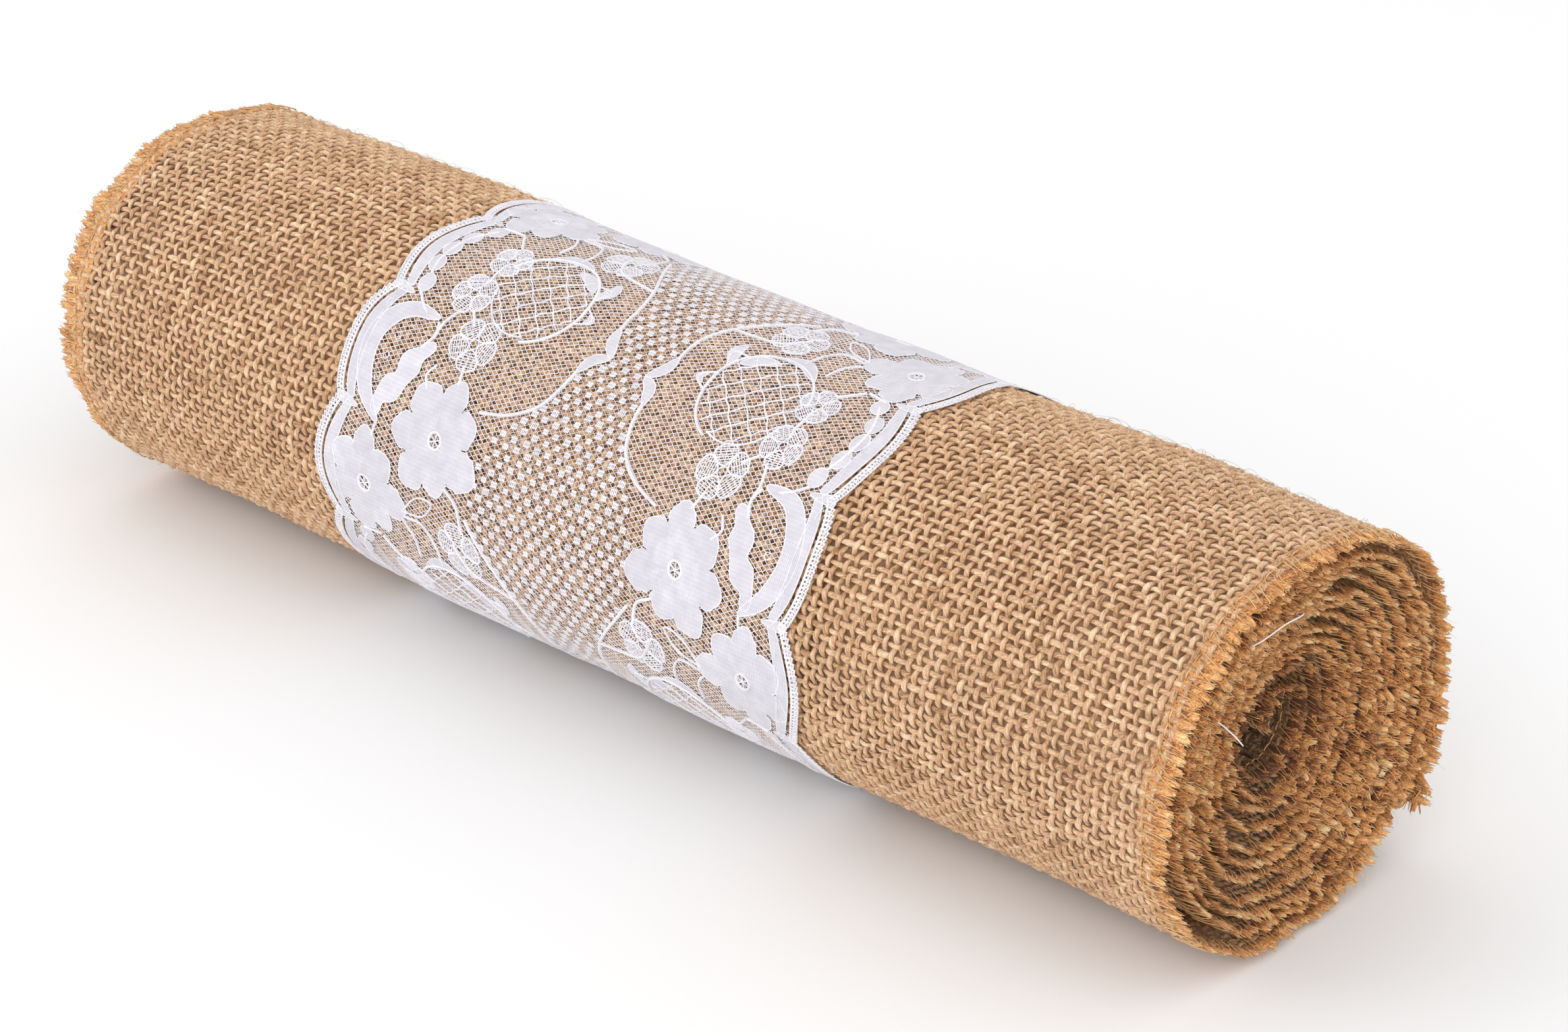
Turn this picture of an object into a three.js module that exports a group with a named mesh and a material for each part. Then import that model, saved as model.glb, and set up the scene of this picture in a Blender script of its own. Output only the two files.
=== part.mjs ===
// A burlap table runner with a lace band, rolled up on its side.
// Millimetres, +Z up. The roll's axis is X, and the near end face looks along +X.
// The origin is on the surface that the roll lies on, under the middle of the roll.
// The cloth is one spiral. It is described by how many turns it has gone inwards from
// its outer end, the tail: turn 0 is the tail's tip, low at the back (+Y side).
import * as THREE from 'three';

// ---- Driving dimensions ----
const CLOTH_WIDTH = 300;
const CLOTH_LENGTH = 1800;
const BURLAP_THICKNESS = 1.0;
const FIT_GAP = 0.3;

const LACE_WIDTH = 130;
const LACE_OFF_CENTRE = -3.5;
const LACE_THICKNESS = 0.3;

const EDGE_WIDTH = 4;
const HEM_LENGTH = 5;
const SEAM_WIDTH = 1;
const SEAM_THICKNESS = 0.2;

// The outermost lap is loose, and the laps inside it form a tighter roll.
const LOOSE_HALF_WIDTH = 42;
const LOOSE_HALF_HEIGHT = 38;
const TIGHT_HALF_WIDTH = 37.6;
const TIGHT_HALF_HEIGHT = 36;
const CORE_HALF_WIDTH = 11;
const CORE_HALF_HEIGHT = 10.1;
const CURL_HALF_WIDTH = 3;
const CURL_HALF_HEIGHT = 2.8;
const TIGHT_ROLL_DROP = 1;
const FLATTENING = 0.978;
const LEAN = 0.05;
// The core lies this far off the middle, towards the tail's side.
const CORE_SHIFT = 3.5;

const LOOSE_UNTIL = 0.895;
const TIGHT_FROM = 1.2;
const CORE_FROM = 11.11;
const CURL_TURNS = 0.6;
const TAIL_ANGLE = -129.5;
const TAIL_FLARE = 0.2;
const TAIL_FLARE_UNTIL = 0.1;

// The laps have slid along each other, so the near end face is hollow.
const NEAR_END_HOLLOW = 12;

// The tail bends at two lines across the cloth, given in turns from its tip.
const LOWER_BEND = 0.1375;
const UPPER_BEND = 0.276;

// ---- Levels, measured outwards from the burlap's outer face ----
const LACE_INNER = FIT_GAP;
const LACE_OUTER = FIT_GAP + LACE_THICKNESS;
const SEAM_OUTER = FIT_GAP + SEAM_THICKNESS;
const EDGE_OUTER = LACE_OUTER;
const EDGE_INNER = -BURLAP_THICKNESS - FIT_GAP;

// ---- The spiral ----
const FULL_TURN = 360;
const STEPS_PER_LOOSE_TURN = 40;
const STEPS_PER_TIGHT_TURN = 20;
const SLOPE_STEP = 0.001;
const LENGTH_STEP = 0.002;
const FLOOR_SNAP = 0.02;
const CENTRE_HEIGHT = LOOSE_HALF_HEIGHT * FLATTENING + EDGE_OUTER;

function ease(value, low, high) {
  const share = THREE.MathUtils.clamp((value - low) / (high - low), 0, 1);
  return share * share * (3 - 2 * share);
}

// A half axis of the lap at this turn: loose, then tight, then the curl in the core.
function halfAxis(turn, loose, tight, core, curl) {
  if (turn < TIGHT_FROM) {
    return THREE.MathUtils.lerp(loose, tight, ease(turn, LOOSE_UNTIL, TIGHT_FROM));
  }
  if (turn < CORE_FROM) {
    const share = (turn - TIGHT_FROM) / (CORE_FROM - TIGHT_FROM);
    return THREE.MathUtils.lerp(tight, core, share);
  }
  const curlShare = Math.min((turn - CORE_FROM) / CURL_TURNS, 1);
  return THREE.MathUtils.lerp(core, curl, curlShare);
}

function tailFlare(turn) {
  const share = Math.max(1 - turn / TAIL_FLARE_UNTIL, 0);
  return 1 + TAIL_FLARE * share * share;
}

// A point on the burlap's outer face, in the plane across the roll.
function facePoint(turn) {
  const angle = THREE.MathUtils.degToRad(TAIL_ANGLE + FULL_TURN * turn);
  const flare = tailFlare(turn);
  const halfWidth = flare * halfAxis(
    turn, LOOSE_HALF_WIDTH, TIGHT_HALF_WIDTH, CORE_HALF_WIDTH, CURL_HALF_WIDTH);
  const halfHeight = flare * halfAxis(
    turn, LOOSE_HALF_HEIGHT, TIGHT_HALF_HEIGHT, CORE_HALF_HEIGHT, CURL_HALF_HEIGHT);
  const rise = halfHeight * Math.max(Math.cos(angle), -FLATTENING);
  const drop = TIGHT_ROLL_DROP * ease(turn, LOOSE_UNTIL, TIGHT_FROM);
  const inwards = THREE.MathUtils.clamp((turn - TIGHT_FROM) / (CORE_FROM - TIGHT_FROM), 0, 1);
  return new THREE.Vector2(
    -halfWidth * Math.sin(angle) + LEAN * rise + CORE_SHIFT * inwards,
    CENTRE_HEIGHT - drop + rise);
}

// The same point moved off the burlap's outer face, outwards for a positive level.
function levelPoint(turn, level) {
  const before = facePoint(turn - SLOPE_STEP);
  const after = facePoint(turn + SLOPE_STEP);
  const along = after.sub(before).normalize();
  const outward = new THREE.Vector2(along.y, -along.x);
  const point = facePoint(turn).addScaledVector(outward, level);
  if (Math.abs(point.y) < FLOOR_SNAP) {
    point.y = 0;
  }
  return point;
}

// How far the cloth's centre line has slid along the roll's axis at this turn.
function slide(turn) {
  return NEAR_END_HOLLOW / 2 - NEAR_END_HOLLOW * Math.min(turn / CORE_FROM, 1);
}

// The turn that lies this far along the cloth from the tail's tip.
function turnAtLength(length) {
  let turn = 0;
  let covered = 0;
  let last = facePoint(0);
  while (covered < length) {
    turn += LENGTH_STEP;
    const next = facePoint(turn);
    covered += next.distanceTo(last);
    last = next;
  }
  return turn;
}

const INNER_END = turnAtLength(CLOTH_LENGTH);
const HEM_OUTER_EDGE = turnAtLength(HEM_LENGTH);
const HEM_INNER_EDGE = turnAtLength(CLOTH_LENGTH - HEM_LENGTH);

// ---- Strips of cloth ----
// The turns at which a strip has a row of corners. The laps share their angles, so
// that the flat facets of two neighbouring laps never cross.
function stationsBetween(from, to) {
  const stations = [from];
  let step = Math.floor(from * STEPS_PER_LOOSE_TURN) + 1;
  const nearlySame = 0.2 / STEPS_PER_LOOSE_TURN;
  while (step / STEPS_PER_LOOSE_TURN < to - nearlySame) {
    const turn = step / STEPS_PER_LOOSE_TURN;
    const everySecond = step % (STEPS_PER_LOOSE_TURN / STEPS_PER_TIGHT_TURN) === 0;
    const wanted = turn < TIGHT_FROM || turn > CORE_FROM || everySecond;
    if (wanted && turn - from > nearlySame) {
      stations.push(turn);
    }
    step += 1;
  }
  stations.push(to);
  return stations;
}

const CORNERS = 4;

function addQuad(indices, a, b, c, d) {
  indices.push(a, b, c, a, c, d);
}

// A strip between two turns, two levels and two places across the cloth.
function stripGeometry(span, levels, across) {
  const positions = [];
  const indices = [];
  const stations = stationsBetween(span[0], span[1]);
  for (const turn of stations) {
    const inner = levelPoint(turn, levels[0]);
    const outer = levelPoint(turn, levels[1]);
    const left = slide(turn) + across[0];
    const right = slide(turn) + across[1];
    positions.push(left, inner.x, inner.y);
    positions.push(right, inner.x, inner.y);
    positions.push(right, outer.x, outer.y);
    positions.push(left, outer.x, outer.y);
  }
  for (let row = 0; row < stations.length - 1; row += 1) {
    for (let corner = 0; corner < CORNERS; corner += 1) {
      const next = (corner + 1) % CORNERS;
      const here = row * CORNERS;
      const there = here + CORNERS;
      addQuad(indices, here + next, there + next, there + corner, here + corner);
    }
  }
  const last = (stations.length - 1) * CORNERS;
  addQuad(indices, 3, 2, 1, 0);
  addQuad(indices, last, last + 1, last + 2, last + 3);
  const geometry = new THREE.BufferGeometry();
  geometry.setAttribute('position', new THREE.Float32BufferAttribute(positions, 3));
  geometry.setIndex(indices);
  return geometry;
}

// ---- Materials and colours ----
const BURLAP_COLOUR = 0xc49a6c;
const OVERLOCK_COLOUR = 0xb98440;
const LACE_COLOUR = 0xf1eff6;
const SEAM_COLOUR = 0xe9e6ef;

function clothMaterial(colour, roughness) {
  return new THREE.MeshStandardMaterial({ color: colour, roughness, metalness: 0 });
}

const BURLAP_ROUGHNESS = 0.95;
const OVERLOCK_ROUGHNESS = 0.7;
const LACE_ROUGHNESS = 0.6;
const SEAM_ROUGHNESS = 0.6;

// ---- Places across the cloth, measured from its centre line ----
const HALF_CLOTH = CLOTH_WIDTH / 2;
const HALF_BURLAP = HALF_CLOTH - EDGE_WIDTH - FIT_GAP;
const HALF_LACE = LACE_WIDTH / 2 - SEAM_WIDTH - FIT_GAP;
const SEAM_IN = LACE_WIDTH / 2 - SEAM_WIDTH;
const SEAM_OUT = LACE_WIDTH / 2;

function laceAcross(low, high) {
  return [LACE_OFF_CENTRE + low, LACE_OFF_CENTRE + high];
}

// The bands that run along the whole cloth, with the levels they fill.
const BANDS = [
  { name: 'burlap', levels: [-BURLAP_THICKNESS, 0], across: [-HALF_BURLAP, HALF_BURLAP],
    colour: BURLAP_COLOUR, roughness: BURLAP_ROUGHNESS },
  { name: 'lace', levels: [LACE_INNER, LACE_OUTER], across: laceAcross(-HALF_LACE, HALF_LACE),
    colour: LACE_COLOUR, roughness: LACE_ROUGHNESS },
  { name: 'near_edge_overlock', levels: [EDGE_INNER, EDGE_OUTER],
    across: [HALF_CLOTH - EDGE_WIDTH, HALF_CLOTH],
    colour: OVERLOCK_COLOUR, roughness: OVERLOCK_ROUGHNESS },
  { name: 'far_edge_overlock', levels: [EDGE_INNER, EDGE_OUTER],
    across: [-HALF_CLOTH, EDGE_WIDTH - HALF_CLOTH],
    colour: OVERLOCK_COLOUR, roughness: OVERLOCK_ROUGHNESS },
  { name: 'near_lace_seam', levels: [LACE_INNER, SEAM_OUTER], across: laceAcross(SEAM_IN, SEAM_OUT),
    colour: SEAM_COLOUR, roughness: SEAM_ROUGHNESS },
  { name: 'far_lace_seam', levels: [LACE_INNER, SEAM_OUTER], across: laceAcross(-SEAM_OUT, -SEAM_IN),
    colour: SEAM_COLOUR, roughness: SEAM_ROUGHNESS },
];

// The lengths of cloth that move as one: the roll, and the two parts of the tail.
const TURN_GAP = FIT_GAP / (2 * Math.PI * LOOSE_HALF_WIDTH);
const LENGTHS = [
  { name: 'roll', span: [UPPER_BEND + TURN_GAP / 2, HEM_INNER_EDGE - TURN_GAP * 5] },
  { name: 'tail_upper', span: [LOWER_BEND + TURN_GAP / 2, UPPER_BEND - TURN_GAP / 2] },
  { name: 'tail_lower', span: [HEM_OUTER_EDGE + TURN_GAP, LOWER_BEND - TURN_GAP / 2] },
];

function bandMesh(band, length) {
  const mesh = new THREE.Mesh(
    stripGeometry(length.span, band.levels, band.across),
    clothMaterial(band.colour, band.roughness));
  mesh.name = `${band.name}_${length.name}`;
  return mesh;
}

function hemMesh(name, span) {
  const mesh = new THREE.Mesh(
    stripGeometry(span, [EDGE_INNER, EDGE_OUTER], [-HALF_CLOTH, HALF_CLOTH]),
    clothMaterial(OVERLOCK_COLOUR, OVERLOCK_ROUGHNESS));
  mesh.name = name;
  return mesh;
}

const runner = new THREE.Group();
runner.name = 'table_runner';
for (const length of LENGTHS) {
  for (const band of BANDS) {
    runner.add(bandMesh(band, length));
  }
}
runner.add(hemMesh('hem_outer_end', [0, HEM_OUTER_EDGE]));
runner.add(hemMesh('hem_inner_end', [HEM_INNER_EDGE, INNER_END]));

export default runner;
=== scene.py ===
"""A rolled-up burlap table runner with a lace band, thread by thread.

The cloth is one spiral. Everything on it is drawn on the flat cloth, in millimetres, as points (across,
along, level): across from the cloth's centre line, along from the tail's tip, and level outwards from the
burlap's outer face. place() rolls such points up, so all the layers stay together.
"""

import math

import bpy
import numpy as np
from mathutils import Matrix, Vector


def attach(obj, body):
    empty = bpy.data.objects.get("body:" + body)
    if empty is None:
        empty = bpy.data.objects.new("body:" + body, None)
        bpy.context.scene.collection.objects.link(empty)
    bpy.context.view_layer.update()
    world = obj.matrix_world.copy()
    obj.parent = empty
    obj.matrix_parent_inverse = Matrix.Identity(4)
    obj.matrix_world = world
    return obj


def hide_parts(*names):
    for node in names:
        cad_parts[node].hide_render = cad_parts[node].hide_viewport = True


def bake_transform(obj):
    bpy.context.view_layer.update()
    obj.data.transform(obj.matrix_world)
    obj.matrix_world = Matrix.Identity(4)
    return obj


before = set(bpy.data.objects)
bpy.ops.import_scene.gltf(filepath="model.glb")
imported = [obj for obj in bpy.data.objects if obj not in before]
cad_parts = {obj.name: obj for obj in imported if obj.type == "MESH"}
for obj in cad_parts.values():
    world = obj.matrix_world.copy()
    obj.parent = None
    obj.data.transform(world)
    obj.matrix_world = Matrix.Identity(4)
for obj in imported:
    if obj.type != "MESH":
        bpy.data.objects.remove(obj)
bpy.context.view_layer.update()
random = np.random.default_rng(41)

MM = 0.001

# ---- The spiral, as the CAD model has it, in millimetres and turns ----
CLOTH_WIDTH = 300.0
CLOTH_LENGTH = 1800.0
HALF_CLOTH = CLOTH_WIDTH / 2
FLOOR_LEVEL = 0.6
LOOSE_AXES = (42.0, 38.0)
TIGHT_AXES = (37.6, 36.0)
CORE_AXES = (11.0, 10.1)
CURL_AXES = (3.0, 2.8)
LOOSE_UNTIL, TIGHT_FROM, CORE_FROM, CURL_TURNS = 0.895, 1.2, 11.11, 0.6
TAIL_ANGLE = -129.5
TAIL_FLARE, TAIL_FLARE_UNTIL = 0.2, 0.1
TIGHT_DROP = 1.0
FLATTENING = 0.978
LEAN = 0.05
CORE_SHIFT = 3.5
NEAR_END_HOLLOW = 12.0
FIRST_TURN, LAST_TURN = -0.03, 11.75
TURN_STEP = 0.0005


def ease(value, low, high):
    share = np.clip((value - low) / (high - low), 0, 1)
    return share * share * (3 - 2 * share)


def half_axis(turn, which):
    loose, tight = LOOSE_AXES[which], TIGHT_AXES[which]
    outer = loose + (tight - loose) * ease(turn, LOOSE_UNTIL, TIGHT_FROM)
    knots = (TIGHT_FROM, CORE_FROM, CORE_FROM + CURL_TURNS)
    inner = np.interp(turn, knots, (tight, CORE_AXES[which], CURL_AXES[which]))
    return np.where(turn < TIGHT_FROM, outer, inner)


def face_point(turn):
    """Y and Z of the burlap's outer face at this turn."""
    angle = np.radians(TAIL_ANGLE + 360 * turn)
    flare = 1 + TAIL_FLARE * np.maximum(1 - turn / TAIL_FLARE_UNTIL, 0) ** 2
    rise = flare * half_axis(turn, 1) * np.maximum(np.cos(angle), -FLATTENING)
    drop = TIGHT_DROP * ease(turn, LOOSE_UNTIL, TIGHT_FROM)
    inwards = np.clip((turn - TIGHT_FROM) / (CORE_FROM - TIGHT_FROM), 0, 1)
    y = -flare * half_axis(turn, 0) * np.sin(angle) + LEAN * rise + CORE_SHIFT * inwards
    return y, LOOSE_AXES[1] * FLATTENING + FLOOR_LEVEL - drop + rise


# ---- From the flat cloth to the roll ----
ALONG_STEP = 0.25
CREASE_ROUNDING = 1.6


def rounded(values):
    """The values with creases rounded off over a few millimetres."""
    reach = int(4 * CREASE_ROUNDING / ALONG_STEP)
    offsets = np.arange(-reach, reach + 1) * ALONG_STEP
    weights = np.exp(-0.5 * (offsets / CREASE_ROUNDING) ** 2)
    before = 2 * values[0] - values[reach:0:-1]
    after = 2 * values[-1] - values[-2:-reach - 2:-1]
    return np.convolve(np.concatenate([before, values, after]), weights / weights.sum(), "valid")


def spiral_table():
    turns = np.arange(FIRST_TURN, LAST_TURN, TURN_STEP)
    y, z = face_point(turns)
    covered = np.concatenate([[0], np.cumsum(np.hypot(np.diff(y), np.diff(z)))])
    covered -= np.interp(0, turns, covered)
    along = np.arange(covered[0], covered[-1], ALONG_STEP)
    y, z = (rounded(np.interp(along, covered, values)) for values in (y, z))
    y_change, z_change = np.gradient(y), np.gradient(z)
    length = np.hypot(y_change, z_change)
    turn = np.interp(along, covered, turns)
    slide = NEAR_END_HOLLOW / 2 - NEAR_END_HOLLOW * np.clip(turn / CORE_FROM, 0, 1)
    return {"along": along, "turn": turn, "slide": slide,
            "y": y, "z": z, "out_y": z_change / length, "out_z": -y_change / length}


SPIRAL = spiral_table()


def along_at(turn):
    return float(np.interp(turn, SPIRAL["turn"], SPIRAL["along"]))


# Gentle unevenness of the rolled cloth: (amplitude, wavelength across, wavelength along, phase).
SWELLS = ((0.16, 95, 71, 0.4), (0.12, -61, 43, 2.1), (0.08, 37, 97, 4.0))
SWAYS = ((0.35, 260, 57, 1.0), (0.22, -180, 31, 3.3), (0.16, 400, 17.3, 5.1))
FLUTTERS = ((0.30, 29.0, 0.7), (0.22, 17.7, 2.9), (0.14, 9.1, 4.4))
FLUTTER_REACH = 9.0
# Laps lie closer together in some places and leave gaps in others, more so towards the ends.
BUNCHING, BUNCH_LAPS, BUNCH_REACH = 0.42, 3.3, 30.0


def waves(across, along, table):
    total = 0
    for amplitude, wide, long, phase in table:
        total = total + amplitude * np.sin(2 * np.pi * (across / wide + along / long) + phase)
    return total


def bunching(across, turn):
    near_end = np.exp(-np.maximum(HALF_CLOTH - np.abs(across), 0) / BUNCH_REACH)
    phase = 2 * np.pi * turn / BUNCH_LAPS + 1.4 * np.sin(2 * np.pi * turn + 0.6) + 2.0 * np.sign(across)
    return BUNCHING * near_end * np.sin(phase) * ease(turn, 0.9, 1.6)


def flutter(across, along):
    """How the cut edges wave in and out of the lap they lie in."""
    near_edge = np.exp(-np.maximum(HALF_CLOTH - np.abs(across), 0) / FLUTTER_REACH)
    total = 0
    for amplitude, long, phase in FLUTTERS:
        total = total + amplitude * np.sin(2 * np.pi * along / long + phase + 1.7 * np.sign(across))
    return near_edge * total


# The whole roll is fuller on both sides of the lace, narrower under it, and lower at its far end.
ROLL_HEIGHT = 75.7
BELLY, BELLY_AT, BELLY_REACH = 1.1, 95.0, 26.0
WAIST, WAIST_REACH = -0.3, 40.0
FAR_DROP, FAR_DROP_FROM = -1.2, 112.0


def height_change(across):
    belly = BELLY * np.exp(-0.5 * ((np.abs(across) - BELLY_AT) / BELLY_REACH) ** 2)
    waist = WAIST * np.exp(-0.5 * (across / WAIST_REACH) ** 2)
    return belly + waist + FAR_DROP * ease(-across, FAR_DROP_FROM, HALF_CLOTH)


# The stitches pull the cloth thinner along its edges.
CLOTH_MIDDLE = -0.66
EDGE_SQUEEZE, SQUEEZED_FROM = 0.35, 6.0


# The laps end a little askew: the near end falls back on its +Y side, and the far end leans out at its top.
NEAR_LEAN, FAR_LEAN, LEAN_FROM = 3.2, 3.5, 60.0


def lean(across, y, z):
    near = NEAR_LEAN * ease(across, LEAN_FROM, HALF_CLOTH) * np.clip(y / LOOSE_AXES[0], 0, 1)
    far = FAR_LEAN * ease(-across, LEAN_FROM, HALF_CLOTH) * (2 * z / ROLL_HEIGHT - 1)
    return near + far


def place(points):
    """Points on the flat cloth, in millimetres, as points on the roll, in metres."""
    across, along, level = points[..., 0], points[..., 1], points[..., 2]
    at = {name: np.interp(along, SPIRAL["along"], values) for name, values in SPIRAL.items()}
    squeeze = 1 - EDGE_SQUEEZE * ease(np.abs(across), HALF_CLOTH - SQUEEZED_FROM, HALF_CLOTH)
    out = CLOTH_MIDDLE + (level - CLOTH_MIDDLE) * squeeze
    out = out + waves(across, along, SWELLS) + flutter(across, along) + bunching(across, at["turn"])
    y = at["y"] + out * at["out_y"]
    z = (at["z"] + out * at["out_z"]) * (1 + height_change(across) / ROLL_HEIGHT)
    x = across + at["slide"] + waves(across, along, SWAYS) - lean(across, y, z)
    return np.stack([x, y, z], -1) * MM


# ---- Lengths of cloth that move together ----
PICK = 2.0      # from one yarn across the cloth to the next
END = 2.05      # from one yarn along the cloth to the next


def pick_gap(turn):
    """The middle between two yarns across the cloth that is nearest to this turn."""
    return (round(along_at(turn) / PICK - 0.5) + 0.5) * PICK


LOWER_END_TURN, LOWER_TURN, UPPER_TURN = 0.069, 0.207, 0.345
UNDER_TAIL_FROM, UNDER_TAIL_UNTIL = 1.03, 1.35
CLOTH_START = PICK / 2
ZONES = {
    "tail_lower": (CLOTH_START, pick_gap(LOWER_TURN)),
    "tail_upper": (pick_gap(LOWER_TURN), pick_gap(UPPER_TURN)),
    "roll": (pick_gap(UPPER_TURN), pick_gap(UNDER_TAIL_FROM)),
    "under_tail": (pick_gap(UNDER_TAIL_FROM), pick_gap(UNDER_TAIL_UNTIL)),
}
DRAWN_UNTIL = ZONES["under_tail"][1]


def go_with(piece, zone):
    """Attaches a piece to the roll's body, or, in the tail's zones, only bakes its place into its mesh."""
    if zone == "tail_upper":
        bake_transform(piece)
    elif zone == "tail_lower":
        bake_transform(piece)
    else:
        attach(piece, "roll")


# ---- Threads ----
LEVEL = np.array([0.0, 0.0, 1.0])
ALONG = np.array([0.0, 1.0, 0.0])
ACROSS = np.array([1.0, 0.0, 0.0])
TWIST_PER_MM = 1.1
# Sections of lace threads, as shares of their half width and half height: a flat figure, a ribbon and a cord.
SATIN = np.array([(1, 0), (0.95, 0.8), (0.4, 1), (-0.4, 1),
                  (-0.95, 0.8), (-1, 0), (-0.95, -0.8), (0.95, -0.8)])
RIBBON = np.array([(1, -1), (0.85, 1), (-0.85, 1), (-1, -1)])
CORD = np.array([(1, -1), (0.8, 0.5), (0, 1), (-0.8, 0.5), (-1, -1)])


def circle(sides):
    angles = 2 * np.pi * np.arange(sides) / sides
    return np.stack([np.cos(angles), np.sin(angles)], 1)


def smooth_line(points, step=0.9, closed=False):
    """A smooth line through the points, sampled about every step."""
    points = np.asarray(points, float)
    if closed:
        padded = np.concatenate([points[-1:], points, points[:2]])
    else:
        padded = np.concatenate([2 * points[:1] - points[1:2], points, 2 * points[-1:] - points[-2:-1]])
    line = []
    for before, here, there, after in zip(padded, padded[1:], padded[2:], padded[3:]):
        count = max(2, round(float(np.linalg.norm(there - here)) / step))
        share = (np.arange(count) / count)[:, None]
        curve = 2 * here + (there - before) * share + (2 * before - 5 * here + 4 * there - after) * share ** 2
        line.append((curve + (3 * here - before - 3 * there + after) * share ** 3) / 2)
    if not closed:
        line.append(points[-1:])
    return np.concatenate(line)


def unit(vectors):
    return vectors / np.maximum(np.linalg.norm(vectors, axis=-1, keepdims=True), 1e-9)


class Threads:
    """Tubes round paths, collected into one mesh. Nothing lies before start along the cloth.

    A path runs through points (across, along, level) of the flat cloth. Its section is half_width wide,
    square to the direction called upright, and half_height high."""

    def __init__(self, start=-np.inf):
        self.groups = []
        self.start = start

    def add(self, paths, half_width, half_height, section, tone=0.0, upright=LEVEL, closed=False,
            flat_grain=False):
        paths = np.asarray(paths, float)
        if paths.ndim == 2:
            paths = paths[None]
        count, rings = paths.shape[:2]
        if closed:
            ahead, behind = np.roll(paths, -1, 1), np.roll(paths, 1, 1)
            heading = unit(ahead - behind)
        else:
            heading = unit(np.gradient(paths, axis=1))
        wide = unit(np.cross(heading, upright))
        high = np.cross(wide, heading)
        sides = len(section)
        half_width = np.broadcast_to(half_width, (count, rings))[..., None, None]
        half_height = np.broadcast_to(half_height, (count, rings))[..., None, None]
        ring = paths[:, :, None, :] + wide[:, :, None, :] * section[:, :1] * half_width
        ring = ring + high[:, :, None, :] * section[:, 1:] * half_height
        ring[..., 1] = np.maximum(ring[..., 1], self.start)
        steps = np.linalg.norm(np.diff(paths, axis=1), axis=-1)
        run = np.concatenate([np.zeros((count, 1)), np.cumsum(steps, 1)], 1)
        if flat_grain:
            grain = ring * [1, 1, 0]
        else:
            turned = 2 * np.pi * np.arange(sides) / sides + TWIST_PER_MM * run[..., None]
            offset = 37.0 * np.arange(count)[:, None, None]
            lengthways = 0.35 * (run[..., None] + offset) + 0 * turned
            grain = np.stack([np.cos(turned), np.sin(turned), lengthways], -1)
        tone = np.asarray(tone, float)
        tone = np.broadcast_to(tone[:, None] if tone.ndim == 1 else tone, (count, rings))
        tone = np.broadcast_to(tone[..., None], (count, rings, sides))
        self.groups.append((ring, grain, tone, closed))

    def mesh(self, name, smooth=True, rolled=True):
        points, grains, tones, corners, sizes, layout = [], [], [], [], [], []
        first = 0
        strips = sum(group[0].shape[0] for group in self.groups)
        columns = max(1, int(math.sqrt(strips / 16)))
        rows = math.ceil(strips / columns)
        strip = 0
        for ring, grain, tone, closed in self.groups:
            count, rings, sides = ring.shape[:3]
            points.append(ring.reshape(-1, 3))
            grains.append(grain.reshape(-1, 3))
            tones.append(tone.reshape(-1))
            index = first + np.arange(count * rings * sides).reshape(count, rings, sides)
            here = index if closed else index[:, :-1]
            there = np.roll(index, -1, 1) if closed else index[:, 1:]
            quads = np.stack([here, np.roll(here, -1, 2), np.roll(there, -1, 2), there], -1)
            corners.append(quads.reshape(-1))
            sizes.append(np.full(quads.size // 4, 4))
            layout.append(self.cells(strip, quads.shape[:3], columns, rows))
            if not closed:
                caps = np.concatenate([index[:, 0, ::-1], index[:, -1]])
                corners.append(caps.reshape(-1))
                sizes.append(np.full(len(caps), sides))
                cell = self.cells(strip, (count, 1, 1), columns, rows).reshape(count, 4, 2)[:, 0]
                layout.append(np.repeat(np.concatenate([cell, cell]), sides, 0))
            first += index.size
            strip += count
        points = np.concatenate(points)
        points = place(points) if rolled else points * MM
        return make_mesh(name, points, np.concatenate(corners), np.concatenate(sizes),
                         {"grain": np.concatenate(grains), "tone": np.concatenate(tones)},
                         np.concatenate(layout), smooth)

    @staticmethod
    def cells(strip, shape, columns, rows):
        """Where the faces lie in the bake's square: each tube has a cell of its own."""
        count, rings, sides = shape
        which = strip + np.arange(count)
        left, low = (which % columns) / columns, (which // columns) / rows
        across = np.array([0, 0, 1, 1])
        up = np.array([0, 1, 1, 0])
        ring = (np.arange(rings)[:, None, None] + across) / rings
        side = (np.arange(sides)[None, :, None] + up) / sides
        u = left[:, None, None, None] + 0.98 * ring / columns + 0 * side
        v = low[:, None, None, None] + 0.98 * side / rows + 0 * ring
        return np.stack([u, v], -1).reshape(-1, 2)


def make_mesh(name, points, corners, sizes, attributes, layout, smooth=True):
    mesh = bpy.data.meshes.new(name)
    mesh.vertices.add(len(points))
    mesh.vertices.foreach_set("co", points.astype(np.float32).ravel())
    mesh.loops.add(len(corners))
    mesh.loops.foreach_set("vertex_index", corners.astype(np.int32))
    mesh.polygons.add(len(sizes))
    starts = np.concatenate([[0], np.cumsum(sizes)[:-1]])
    mesh.polygons.foreach_set("loop_start", starts.astype(np.int32))
    mesh.polygons.foreach_set("use_smooth", np.full(len(sizes), smooth))
    mesh.update(calc_edges=True)
    for label, values in attributes.items():
        if values.ndim == 1:
            data = mesh.attributes.new(label, "FLOAT", "POINT").data
            data.foreach_set("value", values.astype(np.float32))
        else:
            data = mesh.attributes.new(label, "FLOAT_VECTOR", "POINT").data
            data.foreach_set("vector", values.astype(np.float32).ravel())
    uv = mesh.uv_layers.new(name="OFBake")
    uv.data.foreach_set("uv", layout.astype(np.float32).ravel())
    return mesh


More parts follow.
